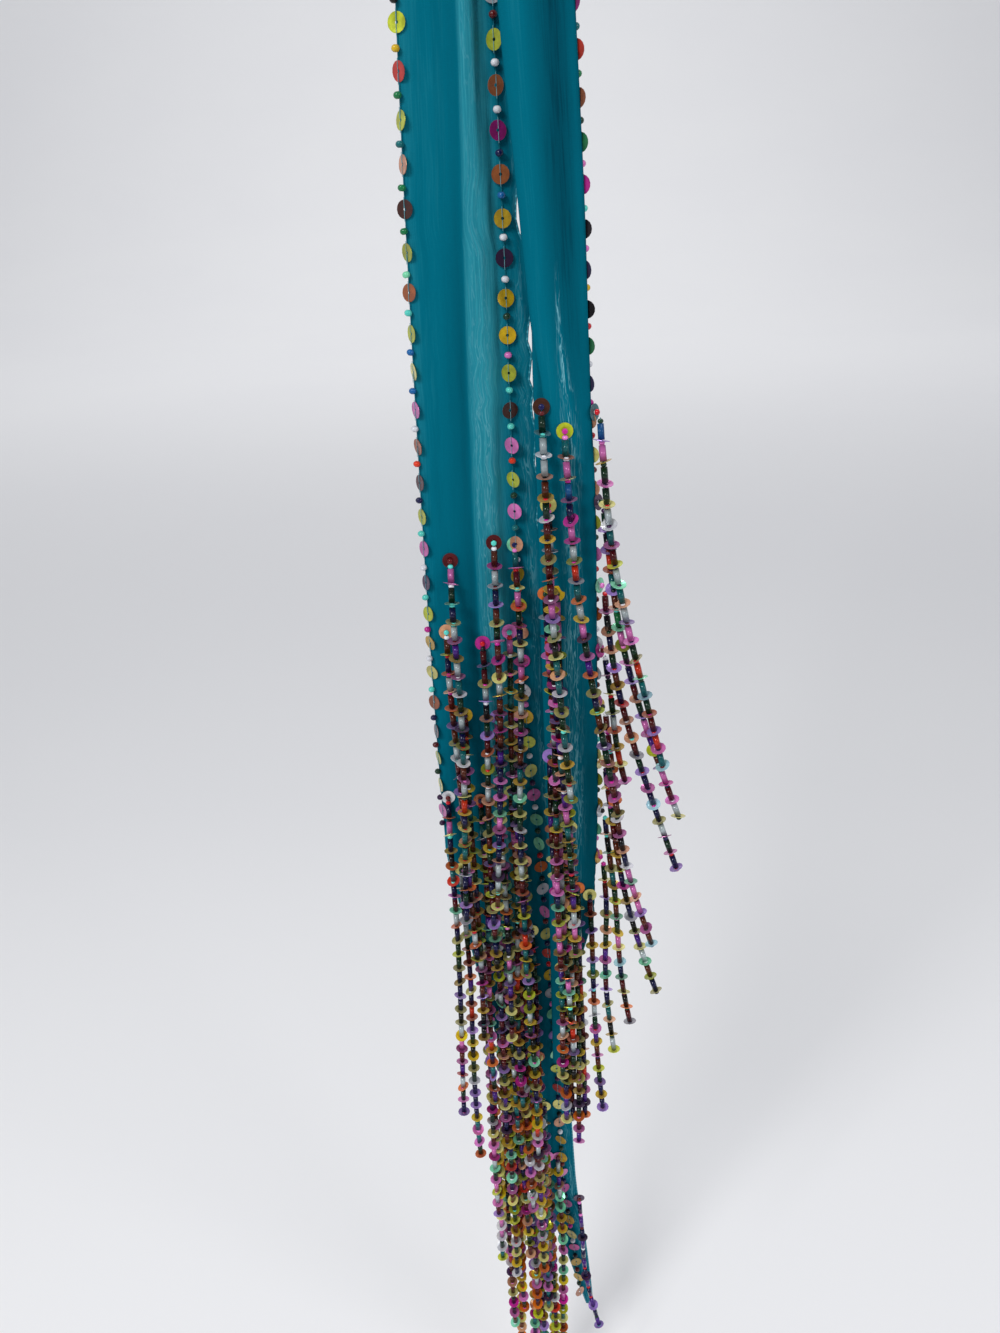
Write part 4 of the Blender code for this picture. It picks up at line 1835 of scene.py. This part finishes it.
@dataclass
class Cascade:
    """The rows of bead strands on one tail.

    Strands hang `clear` of the cloth's front and lean forward as they go down. They come
    forward over `ease`, and `near` is the stretch of cloth that their roots are sewn to. A
    strand has a few habitual tones, which turn up by `habit_share` beside the drawn ones.
    """

    tail: Tail
    drawer: Haberdashery
    box: BeadBox
    seed: int
    clear: float = 2.9
    lean: float = 0.095
    ease: float = 16.0
    near: float = 2.9
    path_steps: int = 60
    lead: float = 0.4
    seed_gap: float = 0.05
    tube_gap: float = 0.12
    sequin_gap: float = 0.18
    thread_radius: float = 0.16
    thread_steps: int = 10
    sequin_lean: float = 0.24
    habit_share: float = 0.3
    shining_share: float = 0.65

    def face_at(self, down: float, across: float) -> float:
        """The front of the cloth near a place.

        Args:
            down: the depth.
            across: the place along X.

        Returns:
            The front along Y, in millimetres.
        """
        corners = np.array(self.tail.section(down))
        points, _ = along(corners, np.linspace(*self.tail.stretch(down), 60))
        off = np.abs(points[:, 0] - across)
        close = off <= max(self.near, off.min())
        return float(points[close, 1].min()) - 0.3

    def front_at(self, down: float) -> float:
        """The front of the whole section at a depth, along Y, in millimetres."""
        return min(y for _, y in self.tail.section(down)) - WALL / 2

    def path(
        self, start: Vector, length: float, swing: float, chance: random.Random
    ) -> list[Vector]:
        """The points down one strand, close together, in millimetres.

        Args:
            start: its root, in millimetres.
            length: how far it hangs.
            swing: how far right it ends.
            chance: where its slight wobble comes from.

        Returns:
            The points, from the root down.
        """
        phase, sway = chance.uniform(0, FULL_TURN), chance.uniform(0.4, 1.3)
        points = [start]
        for place in range(1, self.path_steps + 1):
            share = place / self.path_steps
            down = -start.z + length * share
            hang = self.front_at(down) - self.clear - self.lean * length * share
            y = mix(start.y, hang, eased(length * share / self.ease))
            grown = sway * min(share * 3, 1.0)
            wobble = grown * math.sin(phase + share * 5.0)
            depth = 0.5 * grown * math.cos(phase + share * 7.0)
            points.append(Vector((start.x + swing * share**1.5 + wobble, y + depth, -down)))
        return points

    def put(
        self,
        bm: bmesh.types.BMesh,
        notion: Notion,
        place: Matrix,
        tone: Tone,
        light: float = 1.0,
    ) -> None:
        """Add one small thing from the drawer to a mesh."""
        self.drawer.templates[notion].put(bm, place, tone, light)

    def tilted(self, way: Vector, down: float) -> Vector:
        """The way that a strand's sequins face at a depth, which lets their upper side show.

        Args:
            way: the strand's direction.
            down: the depth.

        Returns:
            The direction.
        """
        lower, lowest = eased((down - 440) / 200), eased((down - 640) / 160)
        forward = -self.sequin_lean * (1 - 1.5 * lower + 1.2 * lowest)
        return (Vector((0.0, forward, 0.0)) - way).normalized()

    def sequin_shading(self, down: float, chance: random.Random) -> float:
        """How light a strand's sequin is: painted shade and light, from deep to bright, darker
        higher up.

        Args:
            down: its depth.
            chance: where the choice comes from.

        Returns:
            The share of its tone.
        """
        lower, lowest = eased((down - 440) / 200), eased((down - 640) / 160)
        light = mix(mix(0.34, 0.52, lowest), 1.1, eased(chance.random()))
        return light * mix(0.8, 1.0, lower)

    def string(
        self,
        bm: bmesh.types.BMesh,
        points: Sequence[Vector],
        chance: random.Random,
        chart: Chart | None,
        shining: bool = False,
    ) -> None:
        """Thread tubes, sequins and seeds along a strand's points.

        Args:
            bm: the mesh that they join.
            points: the strand's points, in millimetres.
            chance: where its colours and slight tips come from.
            chart: its upper tones, if they are charted.
            shining: whether its lower sequins are mostly clear, shining ones.
        """
        line, parts = StrandLine(points), self.drawer
        charted = chart.units if chart else ()
        habit = [drawn(chance, TUBE_MIX) for _ in range(3)]
        rims = [drawn(chance, SEQUIN_MIX) for _ in range(3)]
        top = -points[0].z
        reach, unit = self.lead, 0
        while True:
            deep = eased((top + reach - 440) / 260)
            long = parts.tube_long * mix(1.0, 1.15 if shining else 1.03, deep)
            wide = mix(1.0, 0.94, deep)
            if reach + long + parts.seed_long > line.length:
                break
            known = chance.random() < self.habit_share
            tube = chance.choice(habit) if known else drawn(chance, TUBE_MIX)
            known = chance.random() < self.habit_share
            rim = chance.choice(rims) if known else drawn(chance, SEQUIN_MIX)
            lower = shining and reach > 0.45 * line.length
            if lower and chance.random() < self.shining_share:
                rim = drawn(chance, SHINING_MIX)
            if unit < len(charted):
                tube, rim = charted[unit]
            centre = reach + parts.seed_long / 2
            seed = framed(line.at(centre), line.way(centre), 0.0)
            self.put(bm, Notion.SEED, seed, drawn(chance, SEED_MIX))
            reach += parts.seed_long + self.seed_gap
            centre = reach + long / 2
            spun = framed(line.at(centre), line.way(centre), chance.uniform(0, 1))
            spun = spun @ Matrix.Diagonal((wide, wide, long / parts.tube_long, 1))
            # the tube's tone darkened as painted shade, less so lower down
            self.put(bm, Notion.TUBE, spun, tube, mix(0.48, 0.6, deep))
            reach += long + self.tube_gap
            tip, tip_way = chance.gauss(0, 0.26), chance.uniform(0, FULL_TURN)
            facing = self.tilted(line.way(reach), top + reach)
            sewn = framed(line.at(reach), facing, chance.uniform(0, FULL_TURN), tip, tip_way)
            sewn = sewn @ Matrix.Diagonal((wide, wide, 1, 1))
            if rim is not Tone.BARE:
                light = self.sequin_shading(top + reach, chance)
                self.put(bm, Notion.CUPPED_SEQUIN, sewn, rim, light)
            reach += self.sequin_gap
            unit += 1
        last = reach + parts.seed_long / 2
        knot = framed(line.at(last), line.way(last), 0.0)
        self.put(bm, Notion.SEED, knot, drawn(chance, SEED_MIX))
        stops = np.linspace(0.0, last, self.thread_steps + 1)
        thread = [line.at(float(stop)) * MM for stop in stops]
        thread_run(bm, thread, self.thread_radius * MM)

    def root_sequin(
        self,
        bm: bmesh.types.BMesh,
        root: Vector,
        facing: Vector,
        chance: random.Random,
        chart: Chart | None,
    ) -> None:
        """The flat sequin and the seed that hold a strand's root to the cloth.

        Args:
            bm: the mesh that they join.
            root: the root, in millimetres.
            facing: the way out of the cloth there.
            chance: where its colours and slight tips come from.
            chart: the strand's chart, if it has one.
        """
        facing = facing.normalized()
        tone = drawn(chance, SEQUIN_MIX)
        tone = chart.root if chart else tone
        turn, tip = chance.uniform(0, FULL_TURN), chance.gauss(0, 0.1)
        # the root sequin's tone darkened, as painted shade
        self.put(bm, Notion.FLAT_SEQUIN, framed(root + facing * 0.1, facing, turn, tip), tone, 0.75)
        knot = framed(root + facing * 0.95, facing, 0.0)
        self.put(bm, Notion.SEED, knot, drawn(chance, SEED_MIX))

    def finished(self, bm: bmesh.types.BMesh, node: str) -> bpy.types.Object:
        """A backing's strands as a piece.

        Args:
            bm: the strands' mesh; it is freed.
            node: the solid that it stands for.

        Returns:
            The piece.
        """
        piece = new_piece(node.replace("fringe", "beads"), bm, self.box.materials())
        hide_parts(node)
        return piece

    def row(self, row: StrandRow) -> bpy.types.Object:
        """One row of strands, sewn across the front of the cloth.

        Args:
            row: the row.

        Returns:
            The piece.
        """
        chance = random.Random(f"{self.seed} {row.node}")
        bm = new_stringing()
        for place, (across, swing) in enumerate(zip(row.across, row.swing)):
            vary = 1.0 + 0.035 * math.sin(across * 2.3 + row.down)
            chart = CHARTS.get((row.node, place))
            late = chart.late if chart else chance.uniform(-2.0, 4.0)
            down = row.down + late
            root = Vector((across, self.face_at(down + 1, across) - 0.35, -down - 1.2))
            self.root_sequin(bm, root, Vector((0, -1, 0.08)), chance, chart)
            start = root + Vector((0, -0.9, -0.8))
            length = row.length * vary + 0.4 - late
            self.string(bm, self.path(start, length, swing, chance), chance, chart)
        return self.finished(bm, row.node)

    def edge(self, node: str, rows: Sequence[EdgeStrand]) -> bpy.types.Object:
        """The strands of one upright strip, which swing out to the right.

        Args:
            node: the strip's solid.
            rows: its strands.

        Returns:
            The piece.
        """
        chance = random.Random(f"{self.seed} {node}")
        bm = new_stringing()
        for place, row in enumerate(rows):
            chart = CHARTS.get((node, place))
            right, front = max(self.tail.section(row.down), key=lambda corner: corner[0])
            root = Vector((right + 0.9, front, -row.down))
            self.root_sequin(bm, root, Vector((0.75, -0.55, 0.1)), chance, chart)
            start = Vector((right + 2.6, front - 1.4, -row.down - 1.5))
            points = self.path(start, row.length + 2.5, row.swing - 1.4, chance)
            self.string(bm, points, chance, chart, shining=True)
        return self.finished(bm, node)


@dataclass
class Hem:
    """The tight roll along a tail's edges."""

    name: str
    tail: Tail
    radius: float = 0.42
    sides: int = 6
    row_step: float = 4.0

    def outline(self) -> list[Vector]:
        """The tail's outline from the top left down, round its end and up again.

        Returns:
            The outline's points, in millimetres.
        """
        top, tip = self.tail.top, self.tail.tip
        left, right = [], []
        for down in np.linspace(top + 0.4, tip, int((tip - top) / self.row_step)):
            points, _ = self.tail.level(float(down), np.array([0.0, 1.0]))
            left.append(Vector((*points[0], -down)))
            right.append(Vector((*points[1], -down)))
        return left + right[::-1]

    def build(self, look: bpy.types.Material) -> bpy.types.Object:
        """The roll, as a finished piece.

        Args:
            look: the hem's material.

        Returns:
            The piece.
        """
        path = self.outline()
        bm = bmesh.new()
        way = (path[1] - path[0]).normalized()
        _, edges = first_ring(bm, path, self.radius, self.sides, capped=True)
        for place, following in enumerate(path[1:], 1):
            fresh, edges = next_ring(bm, edges, following - path[place - 1])
            ahead = path[min(place + 1, len(path) - 1)] - path[place - 1]
            if ahead.length > 1e-6 and way.angle(ahead) > 1e-4:
                turn = way.rotation_difference(ahead.normalized()).to_matrix()
                bmesh.ops.rotate(bm, cent=following, matrix=turn, verts=fresh)
                way = ahead.normalized()
        bmesh.ops.contextual_create(bm, geom=edges)
        bmesh.ops.recalc_face_normals(bm, faces=bm.faces)
        for face in bm.faces:
            face.smooth = len(face.verts) == 4
        bmesh.ops.scale(bm, vec=(MM, MM, MM), verts=bm.verts)
        piece = new_piece(self.name, bm, [look])
        return piece


# The whole scarf


LEFT_SEQUINS = tones(
    "LIME RED_ORANGE LIME PEACH BROWN LIME COPPER LIME PALE_YELLOW PINK COPPER BROWN LIME PINK "
    "PLUM LIME MUSTARD PALE_YELLOW COPPER BROWN LIME"
)
LEFT_SEEDS = tones(
    "MUSTARD GREEN TEAL GREEN GREEN MINT AQUA BLUE BLUE PEARL RED_ORANGE NAVY AQUA PEARL AQUA "
    "MAGENTA PEARL AQUA"
)
MIDDLE_SEQUINS = tones(
    "LIME COPPER MAGENTA COPPER MUSTARD PLUM MUSTARD MUSTARD LIME BROWN PINK LIME PINK PEACH "
    "MUSTARD LIME PEACH MAGENTA PEARL MUSTARD LIME"
)
MIDDLE_SEEDS = tones(
    "PEARL PEARL NAVY BLUE PEARL PEARL BOTTLE PINK AQUA AQUA RED_ORANGE BOTTLE TEAL PEARL "
    "RED_ORANGE"
)
SHORT_SEQUINS = tones(
    "MAGENTA RED_ORANGE COPPER GREEN MAGENTA BLACK NAVY BLACK GREEN NAVY"
)
SHORT_SEEDS = tones(
    "TEAL GREEN BOTTLE PINK AQUA PINK MUSTARD RED PEARL MAGENTA RED"
)


@dataclass
class Scarf:
    """The scarf: its cloth, its edgings and its cascades."""

    long: LongTail = field(default_factory=LongTail)
    short: ShortTail = field(default_factory=ShortTail)
    fold: HoldFold = field(default_factory=HoldFold)
    drawer: Haberdashery = field(default_factory=Haberdashery)
    box: BeadBox = field(default_factory=BeadBox)

    def edgings(self) -> list[Edging]:
        """The four edgings, one down each long edge of each tail.

        Returns:
            The long tail's two edgings, then the short tail's.
        """
        return [
            Edging(
                "edging_long_left", self.long, Edge.LONG_LEFT, 574.0, (-0.62, -0.78), 297.5, 3,
                LEFT_SEQUINS, LEFT_SEEDS, pitch=12.2, seed_out=1.3, side_on=-0.28,
            ),
            Edging(
                "edging_long_right", self.long, Edge.LONG_RIGHT, 880.0, (-0.06, -1.0), 303.0, 4,
                MIDDLE_SEQUINS, MIDDLE_SEEDS, pitch=11.65, seed_out=1.2, swivel=0.7, proud=0.45,
            ),
            Edging(
                "edging_short_right", self.short, Edge.SHORT_RIGHT, 594.0, (0.62, 0.78), 296.0, 5,
                SHORT_SEQUINS, SHORT_SEEDS,
            ),
            Edging(
                "edging_short_left", self.short, Edge.SHORT_LEFT, 640.0, (-0.62, 0.78), 300.0, 6,
                out=0.2, seed_out=0.3,
            ),
        ]

    def build(self) -> list[bpy.types.Object]:
        """Build every piece.

        Returns:
            All the pieces.
        """
        self.drawer.fill()
        cloth = Chiffon().material()
        hem = RolledHem().material()
        shells = [stretch.build(cloth) for stretch in (self.long, self.short, self.fold)]
        hems = [Hem("hem_long", self.long).build(hem), Hem("hem_short", self.short).build(hem)]
        edgings = [edging.build(self.drawer, self.box) for edging in self.edgings()]
        behind = Cascade(self.long, self.drawer, self.box, 21)
        before = Cascade(self.short, self.drawer, self.box, 22)
        long_beads = [behind.row(row) for row in LONG_ROWS]
        short_beads = [before.row(row) for row in SHORT_ROWS]
        short_beads.append(before.edge("fringe_short_edge_upper", EDGE_UPPER))
        short_beads.append(before.edge("fringe_short_edge_lower", EDGE_LOWER))
        self.drawer.tidy()
        return shells + hems + edgings + long_beads + short_beads


@dataclass(frozen=True)
class Lamp:
    """A soft square lamp, in metres and watts, aimed at a point."""

    name: str
    place: tuple[float, float, float]
    aim: tuple[float, float, float]
    size: float
    power: float

    def light(self) -> None:
        """Hang the lamp."""
        data = bpy.data.lights.new(self.name, "AREA")
        data.size = self.size
        data.energy = self.power
        lamp = bpy.data.objects.new(self.name, data)
        turn = (Vector(self.aim) - Vector(self.place)).to_track_quat("-Z", "Y")
        lamp.matrix_world = Matrix.Translation(self.place) @ turn.to_matrix().to_4x4()
        bpy.context.scene.collection.objects.link(lamp)


@dataclass
class Studio:
    """A plain pale floor, soft light, and the camera at the picture's angle."""

    lens: float = 27.0
    pitch: float = 25.8
    roll: float = 2.6
    place: tuple[float, float, float] = (-0.0052, -0.337, -0.34)
    surround: Colour = (0.50, 0.51, 0.54, 1.0)
    lamps: tuple[Lamp, ...] = (
        Lamp("key", (-0.65, -0.85, 0.45), (0.0, 0.0, -0.45), 0.45, 12.0),
        Lamp("fill", (0.9, -0.7, 0.0), (0.0, 0.0, -0.5), 0.5, 3.2),
        Lamp("top", (0.15, 0.3, 0.6), (0.0, 0.0, -0.5), 0.3, 3.0),
        Lamp("wall", (0.0, 3.0, 3.4), (0.0, 8.0, 0.6), 4.0, 130.0),
    )
    floor: float = -0.935
    floor_width: float = 30.0
    floor_front: float = -9.0
    floor_back: float = 4.0
    sweep: float = 5.0
    rise: float = 1.5
    floor_steps: int = 40
    straight_steps: int = 4

    def camera(self) -> None:
        """The camera, looking down past the tails."""
        pitch, roll = math.radians(self.pitch), math.radians(self.roll)
        ahead = Vector((0.0, math.cos(pitch), -math.sin(pitch)))
        up = Vector((0.0, math.sin(pitch), math.cos(pitch)))
        right = Vector((1.0, 0.0, 0.0))
        image_right = right * math.cos(roll) - up * math.sin(roll)
        image_up = right * math.sin(roll) + up * math.cos(roll)
        data = bpy.data.cameras.new("camera")
        data.lens = self.lens
        data.sensor_width = 36.0
        data.clip_start = 0.01
        camera = bpy.data.objects.new("camera", data)
        turn = Matrix((image_right, image_up, -ahead)).transposed().to_4x4()
        camera.matrix_world = Matrix.Translation(self.place) @ turn
        bpy.context.scene.collection.objects.link(camera)
        bpy.context.scene.camera = camera

    def ground_material(self) -> bpy.types.Material:
        """The floor's pale, barely cloudy finish.

        Returns:
            The material.
        """
        made, shader, main = new_material("pale floor")
        cloud = shader.cloudy(shader.add("ShaderNodeTexCoord").outputs["Object"], 1.5)
        tone = shader.blended(cloud, (0.81, 0.81, 0.82, 1.0), (0.84, 0.84, 0.84, 1.0))
        shader.join(tone, main.inputs["Base Color"])
        main.inputs["Roughness"].default_value = 0.9
        return made

    def ground(self) -> None:
        """The pale floor, which curves up far behind into a wall."""
        steps, straight = self.floor_steps, self.straight_steps
        bm = bmesh.new()
        bmesh.ops.create_grid(bm, x_segments=1, y_segments=steps, size=0.5)
        for vert in bm.verts:
            step = round((vert.co.y + 0.5) * steps)
            share = min(max((step - straight) / (steps - 2 * straight), 0.0), 1.0)
            turn = math.pi / 2 * share
            y = mix(self.floor_front, self.floor_back, min(step / straight, 1.0))
            y += self.sweep * math.sin(turn)
            z = self.sweep * (1.0 - math.cos(turn)) + max(step - steps + straight, 0) * self.rise
            vert.co = Vector((vert.co.x * self.floor_width, y, self.floor + z))
        for face in bm.faces:
            face.smooth = True
        bmesh.ops.recalc_face_normals(bm, faces=bm.faces)
        mesh = bpy.data.meshes.new("floor")
        bm.to_mesh(mesh)
        bm.free()
        mesh.materials.append(self.ground_material())
        floor = bpy.data.objects.new("floor", mesh)
        bpy.context.scene.collection.objects.link(floor)

    def light(self) -> None:
        """A pale surround, a broad key from the upper left, a weak fill and a lit wall."""
        world = bpy.data.worlds.new("surround")
        world.use_nodes = True
        back = world.node_tree.nodes["Background"]
        back.inputs["Color"].default_value = self.surround
        back.inputs["Strength"].default_value = 1.0
        bpy.context.scene.world = world
        bpy.context.scene.view_settings.view_transform = "Standard"
        for lamp in self.lamps:
            lamp.light()

    def build(self) -> None:
        """Set the studio up."""
        self.camera()
        self.ground()
        self.light()


def main() -> None:
    """Build the scarf and its studio."""
    logging.basicConfig(level=logging.INFO, format="%(name)s: %(message)s")
    Studio().build()
    for piece in Scarf().build():
        faces = sum(len(face.vertices) - 2 for face in piece.data.polygons)
        log.info("%s: %d triangles before modifiers", piece.name, faces)
    bpy.context.view_layer.update()


if __name__ == "__main__":
    main()
